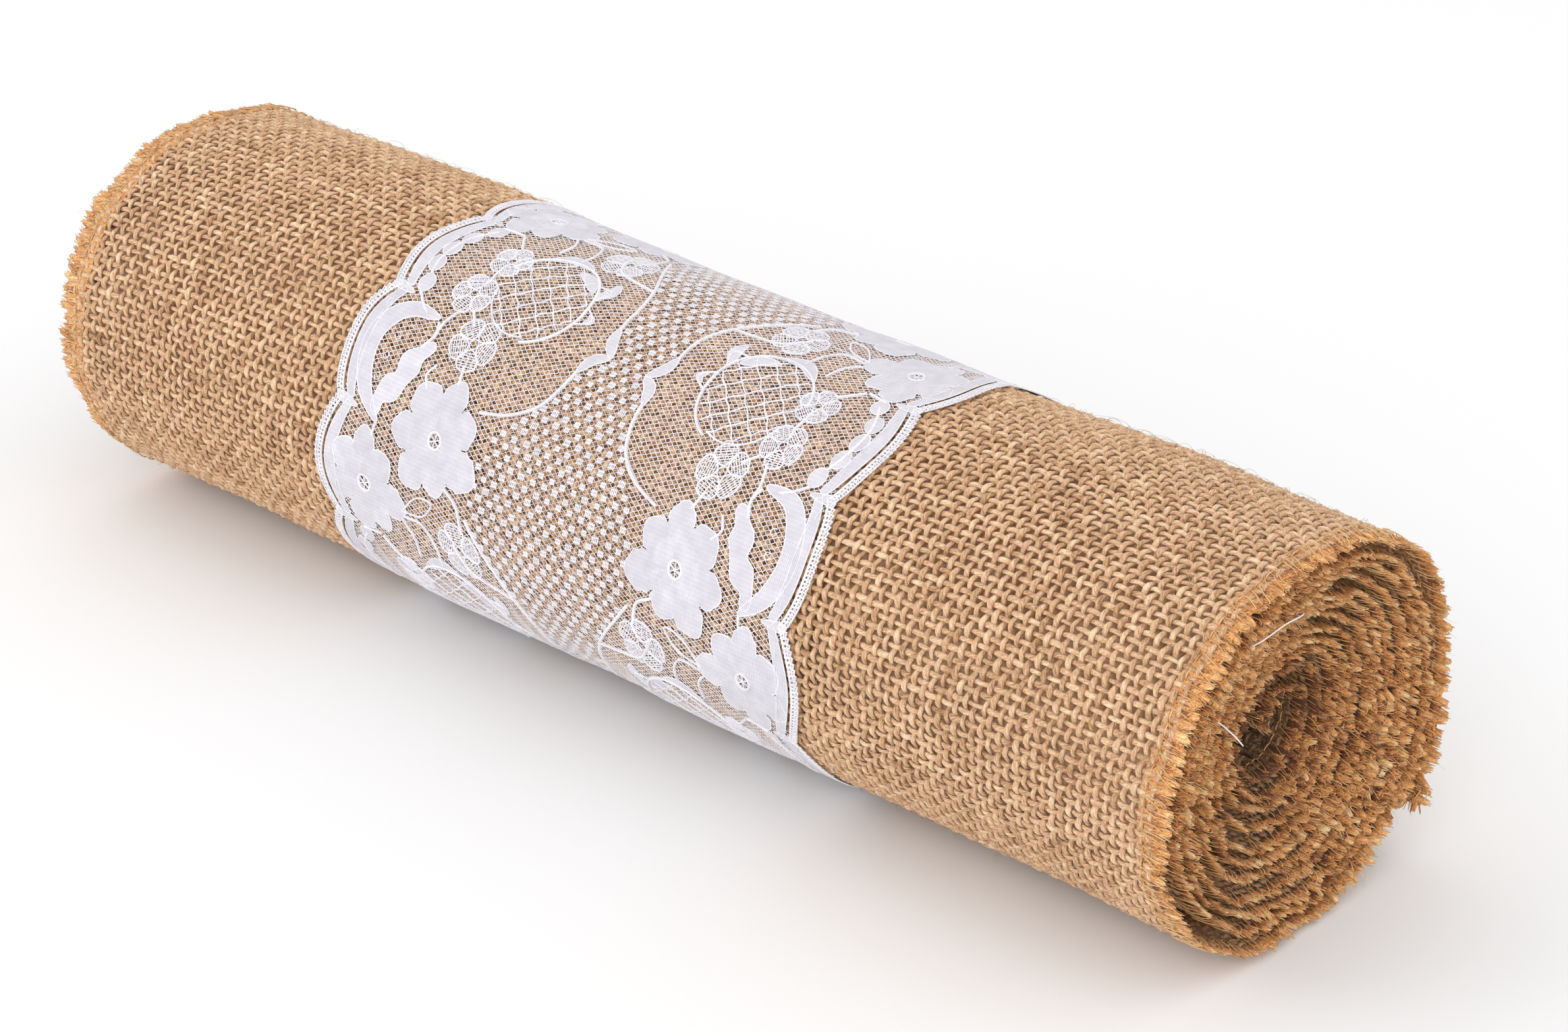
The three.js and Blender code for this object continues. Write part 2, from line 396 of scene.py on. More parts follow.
def piece(name, mesh, material, zone, slot, *nodes):
    """A finished piece: its look, the body it moves with (none for the tail's pieces) and the CAD nodes it
    stands for.
    """
    obj = bpy.data.objects.new(name, mesh)
    bpy.context.scene.collection.objects.link(obj)
    mesh.materials.append(material)
    go_with(obj, zone)
    if nodes:
        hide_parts(*nodes)
    return obj


# ---- Materials ----
def shader(name, roughness, sheen, specular=0.3):
    """A new material, its node tree and its Principled shader."""
    material = bpy.data.materials.new(name)
    material.use_nodes = True
    tree = material.node_tree
    principled = tree.nodes["Principled BSDF"]
    principled.inputs["Roughness"].default_value = roughness
    principled.inputs["Sheen Weight"].default_value = sheen
    principled.inputs["Sheen Roughness"].default_value = 0.5
    principled.inputs["Specular IOR Level"].default_value = specular
    return material, tree, principled


def attribute(tree, name, output):
    node = tree.nodes.new("ShaderNodeAttribute")
    node.attribute_name = name
    return node.outputs[output]


def noise(tree, vector, scale, detail=3.0, stretch=(1, 1, 1)):
    mapping = tree.nodes.new("ShaderNodeMapping")
    mapping.inputs["Scale"].default_value = stretch
    tree.links.new(vector, mapping.inputs["Vector"])
    node = tree.nodes.new("ShaderNodeTexNoise")
    node.inputs["Scale"].default_value = scale
    node.inputs["Detail"].default_value = detail
    tree.links.new(mapping.outputs["Vector"], node.inputs["Vector"])
    return node.outputs["Fac"]


def combine(tree, operation, first, second):
    node = tree.nodes.new("ShaderNodeMath")
    node.operation = operation
    for socket, value in zip(node.inputs, (first, second)):
        if isinstance(value, (int, float)):
            socket.default_value = value
        else:
            tree.links.new(value, socket)
    return node.outputs[0]


def ramp(tree, value, stops):
    """Colours along a value. stops are (place, (red, green, blue)) in linear light."""
    node = tree.nodes.new("ShaderNodeValToRGB")
    elements = node.color_ramp.elements
    while len(elements) < len(stops):
        elements.new(0.5)
    for element, (at, colour) in zip(elements, stops):
        element.position = at
        element.color = (*colour, 1)
    tree.links.new(value, node.inputs["Fac"])
    return node.outputs["Color"]


def bump(tree, height, distance, principled):
    node = tree.nodes.new("ShaderNodeBump")
    node.inputs["Distance"].default_value = distance
    tree.links.new(height, node.inputs["Height"])
    tree.links.new(node.outputs["Normal"], principled.inputs["Normal"])


def fibre_material(name, stops, roughness, sheen, fibre_share, bump_depth, specular=0.3):
    """Twisted fibres: streaks along the yarn, a tone for each yarn, and slow changes over the cloth."""
    material, tree, principled = shader(name, roughness, sheen, specular)
    grain = attribute(tree, "grain", "Vector")
    streaks = noise(tree, grain, 2.2, 4.0)
    blotches = noise(tree, grain, 0.8, 2.0, (0.2, 0.2, 1.0))
    tone = combine(tree, "MULTIPLY", attribute(tree, "tone", "Fac"), 0.5)
    value = combine(tree, "MULTIPLY_ADD", combine(tree, "SUBTRACT", streaks, 0.5), fibre_share)
    value.node.inputs[2].default_value = 0.5
    value = combine(tree, "ADD", value, tone)
    value = combine(tree, "ADD", value, combine(tree, "SUBTRACT", blotches, 0.5))
    tree.links.new(ramp(tree, value, stops), principled.inputs["Base Color"])
    bump(tree, streaks, bump_depth, principled)
    return material


JUTE_STOPS = (
    (0.10, (0.33, 0.160, 0.066)),
    (0.36, (0.57, 0.335, 0.178)),
    (0.60, (0.71, 0.450, 0.262)),
    (0.90, (0.88, 0.665, 0.440)),
)
# Fringe colours, from the painted shade at the roots of its teeth to the painted light at their tips.
EDGE_JUTE_STOPS = (
    (0.00, (0.14, 0.042, 0.011)),
    (0.12, (0.34, 0.116, 0.025)),
    (0.38, (0.71, 0.305, 0.086)),
    (0.66, (0.93, 0.475, 0.162)),
    (0.95, (1.00, 0.750, 0.400)),
)
INNER_CLOTH_STOPS = (
    (0.00, (0.06, 0.027, 0.010)),
    (0.12, (0.33, 0.160, 0.066)),
    (0.36, (0.66, 0.365, 0.175)),
    (0.90, (0.92, 0.610, 0.340)),
)
# Painted shade on the laps inside the roll: from this far across, darker towards their long edges.
INNER_SHADE_FROM = 141.0
# The innermost lap's yarns, painted dark as shade deep in the core.
CORE_SHADED_JUTE_STOPS = (
    (0.05, (0.06, 0.027, 0.010)),
    (0.45, (0.22, 0.110, 0.045)),
    (0.95, (0.60, 0.370, 0.180)),
)
SEAM_STOPS = (
    (0.1, (0.70, 0.68, 0.74)),
    (0.9, (0.92, 0.91, 0.95)),
)
OVERLOCK_STOPS = (
    (0.10, (0.52, 0.250, 0.060)),
    (0.50, (0.80, 0.460, 0.150)),
    (0.90, (0.95, 0.700, 0.340)),
)


RIB_ACROSS, RIB_ALONG = 0.42, 0.9
WHITE_LACE_STOPS = (
    (0.2, (0.56, 0.54, 0.60)),
    (0.5, (0.68, 0.655, 0.72)),
    (0.9, (0.93, 0.92, 0.96)),
)
INNER_WHITE_LACE_STOPS = (
    (0.08, (0.90, 0.80, 0.70)),
    (0.2, (0.68, 0.40, 0.20)),
    (1.0, (0.78, 0.46, 0.23)),
)
# Painted shade on the inner laps: how much darker per millimetre past that, and how much darker all over.
INNER_SHADE_PER_MM, INNER_PAINTED_SHADE = 0.075, 0.2


def flat_place(tree):
    """Where a point lies on the flat cloth, and how far across and how far along that is."""
    cloth = attribute(tree, "grain", "Vector")
    split = tree.nodes.new("ShaderNodeSeparateXYZ")
    tree.links.new(cloth, split.inputs[0])
    return cloth, split.outputs["X"], split.outputs["Y"]


def ripple(tree, value, wavelength):
    """A sine wave along a value."""
    return combine(tree, "SINE", combine(tree, "MULTIPLY", value, 2 * math.pi / wavelength), 0.0)


def lace_material(name):
    """White knitted lace: fine ribs across and along it, and a soft sheen."""
    material, tree, principled = shader(name, 0.55, 0.25, 0.35)
    cloth, across, along = flat_place(tree)
    lengthways = combine(tree, "MULTIPLY", ripple(tree, along, RIB_ALONG), 0.4)
    ribs = combine(tree, "ADD", ripple(tree, across, RIB_ACROSS), lengthways)
    mottle = combine(tree, "SUBTRACT", noise(tree, cloth, 0.35, 3.0), 0.5)
    value = combine(tree, "MULTIPLY_ADD", ribs, 0.10)
    value.node.inputs[2].default_value = 0.5
    value = combine(tree, "ADD", value, combine(tree, "MULTIPLY", mottle, 0.5))
    value = combine(tree, "ADD", value, attribute(tree, "tone", "Fac"))
    tree.links.new(ramp(tree, value, WHITE_LACE_STOPS), principled.inputs["Base Color"])
    bump(tree, ribs, 0.00004, principled)
    return material


def inner_cloth_material(name):
    """The weave of the laps inside the roll, one smooth sheet in painted shade, darker still near its long
    edges.
    """
    material, tree, principled = shader(name, 0.95, 0.3)
    cloth, across, along = flat_place(tree)
    ends = combine(tree, "ABSOLUTE", ripple(tree, across, 2 * END), 0.0)
    picks = combine(tree, "ABSOLUTE", ripple(tree, along, 2 * PICK), 0.0)
    weave = combine(tree, "MULTIPLY", ends, picks)
    value = combine(tree, "ADD", combine(tree, "MULTIPLY", weave, 0.6), noise(tree, cloth, 0.8, 4.0))
    # Painted shade, more towards the long edges.
    near_ends = combine(tree, "SUBTRACT", combine(tree, "ABSOLUTE", across, 0.0), INNER_SHADE_FROM)
    darker = combine(tree, "MULTIPLY", combine(tree, "MAXIMUM", near_ends, 0.0), INNER_SHADE_PER_MM)
    value = combine(tree, "SUBTRACT", combine(tree, "SUBTRACT", value, INNER_PAINTED_SHADE), darker)
    tree.links.new(ramp(tree, value, INNER_CLOTH_STOPS), principled.inputs["Base Color"])
    bump(tree, weave, 0.0006, principled)
    return material


def inner_lace_material(name):
    """The lace of the laps inside the roll: white threads with the jute showing between them."""
    material, tree, principled = shader(name, 0.7, 0.2)
    cells = tree.nodes.new("ShaderNodeTexVoronoi")
    cells.feature = "DISTANCE_TO_EDGE"
    cells.inputs["Scale"].default_value = 1.1
    tree.links.new(attribute(tree, "grain", "Vector"), cells.inputs["Vector"])
    value = combine(tree, "MULTIPLY", cells.outputs["Distance"], 4.0)
    tree.links.new(ramp(tree, value, INNER_WHITE_LACE_STOPS), principled.inputs["Base Color"])
    bump(tree, cells.outputs["Distance"], 0.0001, principled)
    return material


JUTE = fibre_material("jute_yarn", JUTE_STOPS, 0.9, 0.2, 1.9, 0.00012)
EDGE_JUTE = fibre_material("jute_fringe", EDGE_JUTE_STOPS, 0.6, 0.2, 2.0, 0.00010, 0.5)
OVERLOCK = fibre_material("overlock_thread", OVERLOCK_STOPS, 0.38, 0.1, 0.8, 0.00004, 0.6)
LACE = lace_material("lace_thread")
SEAM = fibre_material("seam_thread", SEAM_STOPS, 0.45, 0.15, 0.5, 0.00002, 0.4)
# The core's jute is painted dark as shade.
CORE_SHADED_JUTE = fibre_material("jute_core_painted_shade", CORE_SHADED_JUTE_STOPS, 0.9, 0.2, 1.9, 0.00012)
INNER_CLOTH = inner_cloth_material("jute_inner_laps")
INNER_LACE = inner_lace_material("lace_inner_laps")


# ---- Burlap: plain weave, one tube to a yarn ----
WEAVE_LEVEL = -0.65
END_CRIMP, PICK_CRIMP = 0.46, 0.30
END_HALF = (0.56, 0.40)
PICK_HALF = (0.55, 0.37)
WEAVE_HALF_WIDTH = 148.2
ENDS = int(WEAVE_HALF_WIDTH * 2 / END)
FIRST_END = -(ENDS - 1) / 2 * END
DRAFT = 0.21
SLUBS = 0.20


def wander(count, places, amplitude, shortest, longest):
    """Slow sideways drift of each of count yarns, at the places along it."""
    total = np.zeros((count, len(places)))
    for _ in range(3):
        length = random.uniform(shortest, longest, (count, 1))
        phase = random.uniform(0, 2 * np.pi, (count, 1))
        total += amplitude / 3 * np.sin(2 * np.pi * places[None] / length + phase) * 1.6
    return total


YARN_TONE, YARN_SHADE = 0.10, 0.22
END_TONES = random.normal(0, YARN_TONE, ENDS)
PICK_TONES = random.normal(0, YARN_TONE, int(CLOTH_LENGTH / PICK) + 2)
WHOLE = np.arange(0, CLOTH_LENGTH + 1, 1.0)
END_DRIFT = wander(ENDS, WHOLE, DRAFT, 14, 70)
END_SLUBS = wander(ENDS, WHOLE, SLUBS, 5, 30)
END_SHADES = wander(ENDS, WHOLE, YARN_SHADE, 8, 60)


def along_yarns(threads, numbers, span, rings_per_pick, sides):
    """The yarns that run along the cloth, over one yarn across it and under the next."""
    start, end = span
    s = np.linspace(start, end, round((end - start) / PICK * rings_per_pick) + 1)

    def sampled(table):
        return np.stack([np.interp(s, WHOLE, table[n]) for n in numbers])

    numbers = np.asarray(numbers)
    weave = np.cos(np.pi * (s[None] / PICK + numbers[:, None]))
    u = FIRST_END + END * numbers[:, None] + sampled(END_DRIFT)
    level = WEAVE_LEVEL + END_CRIMP * weave
    paths = np.stack([u, np.broadcast_to(s, u.shape), level], -1)
    swell = 1 + sampled(END_SLUBS) + 0.07 * weave
    # Tone of each yarn, plus painted light where it rides over and painted shade where it dips under.
    tone = END_TONES[numbers][:, None] + sampled(END_SHADES) + 0.10 * weave
    threads.add(paths, END_HALF[0] * swell, END_HALF[1] * (1 + 0.5 * sampled(END_SLUBS)), circle(sides), tone)


def across_yarns(threads, numbers, rings_per_end, sides, span=(-WEAVE_HALF_WIDTH, WEAVE_HALF_WIDTH)):
    """The yarns that run across the cloth, from edge to edge."""
    numbers = np.asarray(numbers)
    u = np.linspace(*span, round((span[1] - span[0]) / END * rings_per_end) + 1)
    weave = np.cos(np.pi * ((u[None] - FIRST_END) / END + numbers[:, None]))
    s = PICK * numbers[:, None] + wander(len(numbers), u, DRAFT, 14, 80)
    slubs = wander(len(numbers), u, SLUBS, 5, 30)
    paths = np.stack([np.broadcast_to(u, s.shape), s, WEAVE_LEVEL - PICK_CRIMP * weave], -1)
    # Tone of each yarn, plus painted light where it rides over and painted shade where it dips under.
    tone = PICK_TONES[numbers][:, None] + wander(len(numbers), u, YARN_SHADE, 8, 60) - 0.10 * weave
    threads.add(paths, PICK_HALF[0] * (1 + slubs), PICK_HALF[1] * (1 + 0.5 * slubs), circle(sides), tone)


def picks_in(zone):
    start, end = ZONES[zone]
    return list(range(math.ceil(start / PICK - 1e-6), math.floor(end / PICK + 1e-6) + 1))


def burlap_piece(name, zone, end_groups, pick_groups, *nodes, rings=(4, 3), sides=5):
    threads = Threads()
    for numbers in end_groups:
        along_yarns(threads, numbers, ZONES[zone], rings[0], sides)
    for numbers in pick_groups:
        across_yarns(threads, numbers, rings[1], sides)
    return piece(name, threads.mesh(name), JUTE, zone, "burlap", *nodes)


def make_burlap():
    every_end = np.arange(ENDS)
    thirds = np.array_split(every_end, 3)
    pieces = []
    for side, numbers in zip(("far", "middle", "near"), thirds):
        pieces.append(burlap_piece(f"long_yarns_{side}", "roll", [numbers], []))
    for side, numbers in zip(("top", "front"), np.array_split(picks_in("roll"), 2)):
        pieces.append(burlap_piece(f"cross_yarns_{side}", "roll", [], [numbers], "burlap_roll"))
    pieces.append(burlap_piece("yarns_under_tail", "under_tail", [every_end], [picks_in("under_tail")],
                               rings=(2, 2), sides=4))
    pieces.append(burlap_piece("yarns_tail_upper", "tail_upper", [every_end], [picks_in("tail_upper")],
                               "burlap_tail_upper"))
    pieces.append(burlap_piece("long_yarns_tail_lower", "tail_lower", [every_end], []))
    pieces.append(burlap_piece("cross_yarns_tail_lower", "tail_lower", [], [picks_in("tail_lower")],
                               "burlap_tail_lower"))
    return pieces


# ---- The laps inside the roll ----
INNER_MIDDLE, INNER_HALF = -0.70, 0.45
LACE_STRIP_MIDDLE, LACE_STRIP_HALF = 0.18, 0.12
STRIP_REACH = 147.5
STRIP_STEP = 1.6
STRIP_COLUMNS = np.linspace(1, -1, 13)
STRIP = np.array([(c, 1) for c in STRIP_COLUMNS] + [(c, -1) for c in STRIP_COLUMNS[::-1]])
LACE_CENTRE = -2.5
LACE_HALF = 65.0
CORE_START = CLOTH_LENGTH - 92.0
CORE_WEAVE_FROM = 92.0


def add_strip(threads, across, middle, half, start, end):
    """A thin closed strip of cloth between two places along the spiral."""
    s = np.linspace(start, end, int((end - start) / STRIP_STEP))
    path = np.stack([np.full(len(s), sum(across) / 2), s, np.full(len(s), middle)], 1)
    threads.add(path, (across[1] - across[0]) / 2, half, STRIP, flat_grain=True)


def make_inner_laps():
    cloth, lace = Threads(), Threads()
    add_strip(cloth, (-STRIP_REACH, STRIP_REACH), INNER_MIDDLE, INNER_HALF, DRAWN_UNTIL, CORE_START)
    add_strip(cloth, (-CORE_WEAVE_FROM, CORE_WEAVE_FROM), INNER_MIDDLE, INNER_HALF,
              CORE_START, CLOTH_LENGTH - 1)
    add_strip(lace, (LACE_CENTRE - LACE_HALF, LACE_CENTRE + LACE_HALF), LACE_STRIP_MIDDLE, LACE_STRIP_HALF,
              DRAWN_UNTIL + 1, CLOTH_LENGTH - 6)
    return (piece("burlap_inner_laps", cloth.mesh("burlap_inner_laps"), INNER_CLOTH, "inner", "burlap"),
            piece("lace_inner_laps", lace.mesh("lace_inner_laps"), INNER_LACE, "inner", "lace"))


def make_core_weave():
    """The yarns of the innermost lap, near both ends, where it can be seen through the core, in painted
    shade.
    """
    threads = Threads()
    every_end = np.arange(ENDS)
    outer_ends = every_end[np.abs(FIRST_END + END * every_end) > CORE_WEAVE_FROM]
    along_yarns(threads, outer_ends, (CORE_START, CLOTH_LENGTH - 2), 4, 5)
    picks = range(math.ceil(CORE_START / PICK), int(CLOTH_LENGTH / PICK))
    for low, high in ((-WEAVE_HALF_WIDTH, -CORE_WEAVE_FROM), (CORE_WEAVE_FROM, WEAVE_HALF_WIDTH)):
        across_yarns(threads, picks, 3, 5, (low, high))
    return piece("burlap_core_weave", threads.mesh("burlap_core_weave"), CORE_SHADED_JUTE, "inner", "burlap")


# ---- Overlocked edges ----
STITCH = 2.6
NEEDLE_LINE = 4.6
LOOPER_HALF = 0.125
TOOTH_WIDTHS = PICK * np.array([0.50, 0.48, 0.42, 0.33, 0.15])
TOOTH_HEIGHTS = np.array([0.50, 0.55, 0.52, 0.42, 0.20])
# Tones of a tooth from root to tip: painted shade at the root, between the laps, and painted light at the
# tip.
TOOTH_PAINTED_SHADING = np.array([-0.9, -0.8, -0.45, -0.05, 0.15])
STRANDS = 8
STRAND_HALF = np.array([0.13, 0.16, 0.15, 0.09])
# Tones of the fibres round a tooth, root to tip: painted shade at the root and painted light at the tip.
STRAND_PAINTED_SHADING = np.array([-0.7, -0.25, 0.1, 0.5])
# Painted tone of fibres in the light, and how much of the painted shade the outer laps' fringe keeps.
LIT_TONE = 0.22
OUTER_SHADE = {"near": 0.6, "far": 0.25}
BACKING = np.array([(1, 1), (-1, 1), (-1, -1), (1, -1)])
FACE_LEVEL = 0.30
BACK_LEVEL = -1.62
THREAD = circle(3)


def edge_to_cloth(edge, run, depth, level):
    """Points given along an edge, in from it and by level, as points on the flat cloth."""
    run, depth, level = np.broadcast_arrays(run, depth, level)
    if edge == "near":
        return np.stack([HALF_CLOTH - depth, run, level], -1)
    if edge == "far":
        return np.stack([depth - HALF_CLOTH, run, level], -1)
    if edge == "outer_end":
        return np.stack([run, depth, level], -1)
    return np.stack([run, CLOTH_LENGTH - depth, level], -1)


def looper_threads(threads, edge, runs):
    """The thread that wraps the edge: out over the face, round the rim, and back under, stitch by stitch."""
    count = len(runs)
    share = np.linspace(0, 1, 13)
    depth_line = np.interp(share, (0, 0.40, 0.5, 0.60, 1), (NEEDLE_LINE, 0.9, 0.05, 0.9, NEEDLE_LINE))
    level_line = np.interp(share, (0, 0.30, 0.5, 0.70, 1),
                           (FACE_LEVEL, FACE_LEVEL, CLOTH_MIDDLE, BACK_LEVEL, BACK_LEVEL))
    for _ in range(2):
        depth_line[1:-1] = (depth_line[:-2] + 2 * depth_line[1:-1] + depth_line[2:]) / 4
        level_line[1:-1] = (level_line[:-2] + 2 * level_line[1:-1] + level_line[2:]) / 4
    lean = random.uniform(0.7, 1.5, (count, 1)) * STITCH
    run = runs[:, None] + lean * (share - 0.5) + wander(count, share * 9, 0.25, 3, 9)
    depth = depth_line + random.normal(0, 0.2, (count, 1)) + wander(count, share * 9, 0.2, 3, 9)
    level = level_line + random.uniform(0.0, 0.18, (count, 1)) * np.sign(level_line - CLOTH_MIDDLE)
    paths = edge_to_cloth(edge, run, depth, level)
    upright = ALONG if edge in ("near", "far") else ACROSS
    # A random tone, with painted shade deeper in the roll.
    tone = random.normal(0.15, 0.3, count) + painted_depth_shade(edge, runs)
    threads.add(paths, LOOPER_HALF, LOOPER_HALF, THREAD, tone, upright)


def needle_threads(threads, edge, runs):
    """The straight line of stitches that holds the wrapping down."""
    count = len(runs)
    share = np.linspace(-0.5, 0.5, 5)
    run = runs[:, None] + share * STITCH * 0.96
    for face in (FACE_LEVEL + 0.12, BACK_LEVEL - 0.1):
        sink = 0.45 * np.abs(share * 2) ** 3 * np.sign(face - CLOTH_MIDDLE)
        depth = NEEDLE_LINE + random.normal(0, 0.12, (count, 1))
        paths = edge_to_cloth(edge, run, depth, face - sink)
        threads.add(paths, LOOPER_HALF * 0.9, LOOPER_HALF, THREAD, random.normal(0, 0.25, count))


def spread(start, end, pitch):
    """Places along an edge, about one pitch apart."""
    count = max(1, round((end - start) / pitch))
    places = start + (np.arange(count) + 0.5) * (end - start) / count
    return places + random.normal(0, 0.14, count)


# Painted shade on the long edges' fringe and stitches: from DEEPER_FROM along, and most round the core.
DEEPER_FROM, DEEPER_SHADE = 800.0, 0.15
CORE_SHADE, CORE_SHADE_BEFORE, CORE_SHADE_AFTER = 0.75, 60.0, 25.0


def painted_depth_shade(edge, runs):
    """Painted shade: the long edges are painted darker the deeper they lie in the roll, most round the core.
    """
    if edge in ("near", "far"):
        core = ease(runs, CORE_START - CORE_SHADE_BEFORE, CORE_START + CORE_SHADE_AFTER)
        return -DEEPER_SHADE * ease(runs, DEEPER_FROM, CORE_START) - CORE_SHADE * core
    return 0 * runs


def shaded(tones, in_shade):
    """Painted tones, with full painted shade in the roll (in_shade is 1) or nearer the tone of lit fibres."""
    return LIT_TONE + (tones - LIT_TONE) * in_shade


# The backing's dark tone is painted shade behind the fringe's teeth.
BACKING_FROM, BACKING_HALF, LIT_BACKING_HALF, BACKING_PAINTED_SHADE = 0.8, 1.7, 2.8, -0.6
TOOTH_ROOT, STRAND_ROOT, HAIR_ROOT, HAIR_HALF = 3.4, 3.1, 0.6, 0.04


def backing(threads, edge, start, end, in_shade):
    """The cloth pressed flat inside the wrapping stitches, behind the teeth of the fringe, in painted shade.
    """
    run = np.arange(start, end + 0.5, 1.3)
    half = BACKING_HALF if in_shade == 1.0 else LIT_BACKING_HALF
    path = edge_to_cloth(edge, run, BACKING_FROM + half + wander(1, run, 0.2, 3, 20)[0], CLOTH_MIDDLE)
    threads.add(path, half, 0.2, BACKING, shaded(BACKING_PAINTED_SHADE, in_shade), flat_grain=True)


def tufts(threads, edge, start, end, in_shade):
    """The cut yarn ends: one rounded tooth for each yarn, with single fibres round it."""
    runs = spread(start, end, PICK)
    count = len(runs)
    reach = random.uniform(0.0, 1.5, (count, 1))
    lift = random.normal(0, 0.34, (count, 1))
    aside = random.normal(0, 0.45, (count, 1))
    # A random tone for each tooth, plus painted shade deeper in the roll.
    shade = random.normal(0, 0.32, (count, 1)) + painted_depth_shade(edge, runs)[:, None]
    fullness = random.uniform(0.85, 1.1, (count, 1))

    share = np.linspace(0, 1, 5)
    depth = TOOTH_ROOT - share * (TOOTH_ROOT + 0.8 * reach)
    level = CLOTH_MIDDLE + lift * share ** 1.5
    paths = edge_to_cloth(edge, runs[:, None] + aside * share ** 2, depth, level)
    # Outer laps keep less of that; the teeth's tones add painted shade at the roots and painted light at the
    # tips.
    shade = shade * (0.45 + 0.55 * in_shade)
    tone = shade + shaded(TOOTH_PAINTED_SHADING, in_shade)
    threads.add(paths, TOOTH_WIDTHS * fullness, TOOTH_HEIGHTS * fullness, circle(6), tone)

    share = np.linspace(0, 1, 4)
    for strand in range(STRANDS):
        around = 2 * np.pi * (strand + random.uniform(-0.5, 0.5, (count, 1))) / STRANDS
        splay = random.normal(0, 0.42, (count, 1)) * share ** 2
        gather = 1 - 0.35 * share ** 2
        run = runs[:, None] + aside * share ** 2 + np.cos(around) * PICK * 0.45 * gather + splay
        tip = reach * random.uniform(0.5, 1.25, (count, 1)) * (1 - 0.35 * np.abs(np.cos(around))) + 0.1
        depth = STRAND_ROOT - share * (STRAND_ROOT + tip)
        level = CLOTH_MIDDLE + lift * share ** 1.5
        level = level + np.sin(around) * 0.55 * fullness * (1 - 0.25 * share ** 2)
        level = level + random.normal(0, 0.26, (count, 1)) * share ** 2
        half = STRAND_HALF * random.uniform(0.75, 1.25, (count, 1))
        tone = shade + random.normal(0, 0.3, (count, 1)) * (0.4 + 0.6 * in_shade)
        tone = tone + shaded(STRAND_PAINTED_SHADING, in_shade)
        threads.add(edge_to_cloth(edge, run, depth, level), half, half, THREAD, tone)


def hairs(threads, edge, runs):
    """Single fibres that stand off the edge."""
    share = np.linspace(0, 1, 4)
    count = len(runs)
    long = random.gamma(2.0, 0.55, (count, 1))
    aside = random.normal(0, 1.0, (count, 1)) * long * 0.6
    up = random.normal(0, 0.6, (count, 1)) * long * 0.4
    run = runs[:, None] + random.uniform(-1.3, 1.3, (count, 1)) + aside * share ** 2
    depth = HAIR_ROOT - share * (HAIR_ROOT + long)
    level = CLOTH_MIDDLE + random.uniform(-0.6, 0.6, (count, 1)) + up * share ** 2
    half = HAIR_HALF * (1 - 0.5 * share)
    tone = random.normal(0.5, 0.3, count)
    threads.add(edge_to_cloth(edge, run, depth, level), half, half, THREAD, tone)


def overlocked(edge, span, in_shade=1.0):
    """The fringe of one stretch of edge, and the stitches that wrap it."""
    runs = spread(*span, STITCH)
    fringe, stitches = Threads(), Threads()
    backing(fringe, edge, *span, in_shade)
    tufts(fringe, edge, *span, in_shade)
    hairs(fringe, edge, runs)
    looper_threads(stitches, edge, runs)
    looper_threads(stitches, edge, runs[::2] + STITCH / 2)
    needle_threads(stitches, edge, runs)
    return fringe, stitches


EDGE_SPANS = {
    "tail_lower": ZONES["tail_lower"],
    "tail_upper": ZONES["tail_upper"],
    "roll": ZONES["roll"],
    "inner": (ZONES["roll"][1], CLOTH_LENGTH - 1),
}


def make_edges():
    pieces = []
    for edge in ("near", "far"):
        for zone, span in EDGE_SPANS.items():
            body, in_shade = ("roll", 1.0) if zone == "inner" else (zone, OUTER_SHADE[edge])
            fringe, stitches = overlocked(edge, span, in_shade)
            label = f"{edge}_edge_fringe_{zone}"
            pieces.append(piece(label, fringe.mesh(label), EDGE_JUTE, zone, "burlap"))
            label = f"{edge}_edge_stitches_{zone}"
            node = f"{edge}_edge_overlock_{body}"
            pieces.append(piece(label, stitches.mesh(label), OVERLOCK, zone, "overlock_thread", node))
    return pieces


def make_hems():
    pieces = []
    for edge, zone in (("outer_end", "tail_lower"), ("inner_end", "inner")):
        fringe, stitches = overlocked(edge, (-HALF_CLOTH + 1, HALF_CLOTH - 1))
        node = f"hem_{edge}"
        label = f"{node}_fringe"
        pieces.append(piece(label, fringe.mesh(label), EDGE_JUTE, zone, "burlap"))
        label = f"{node}_stitches"
        pieces.append(piece(label, stitches.mesh(label), OVERLOCK, zone, "overlock_thread", node))
    return pieces


# ---- Stray fibres and thread ends ----
FUZZ_PER_CM2 = 4.0
BARE_FROM, BARE_TO = 66.0, 145.0
FUZZ_HALF = 0.035


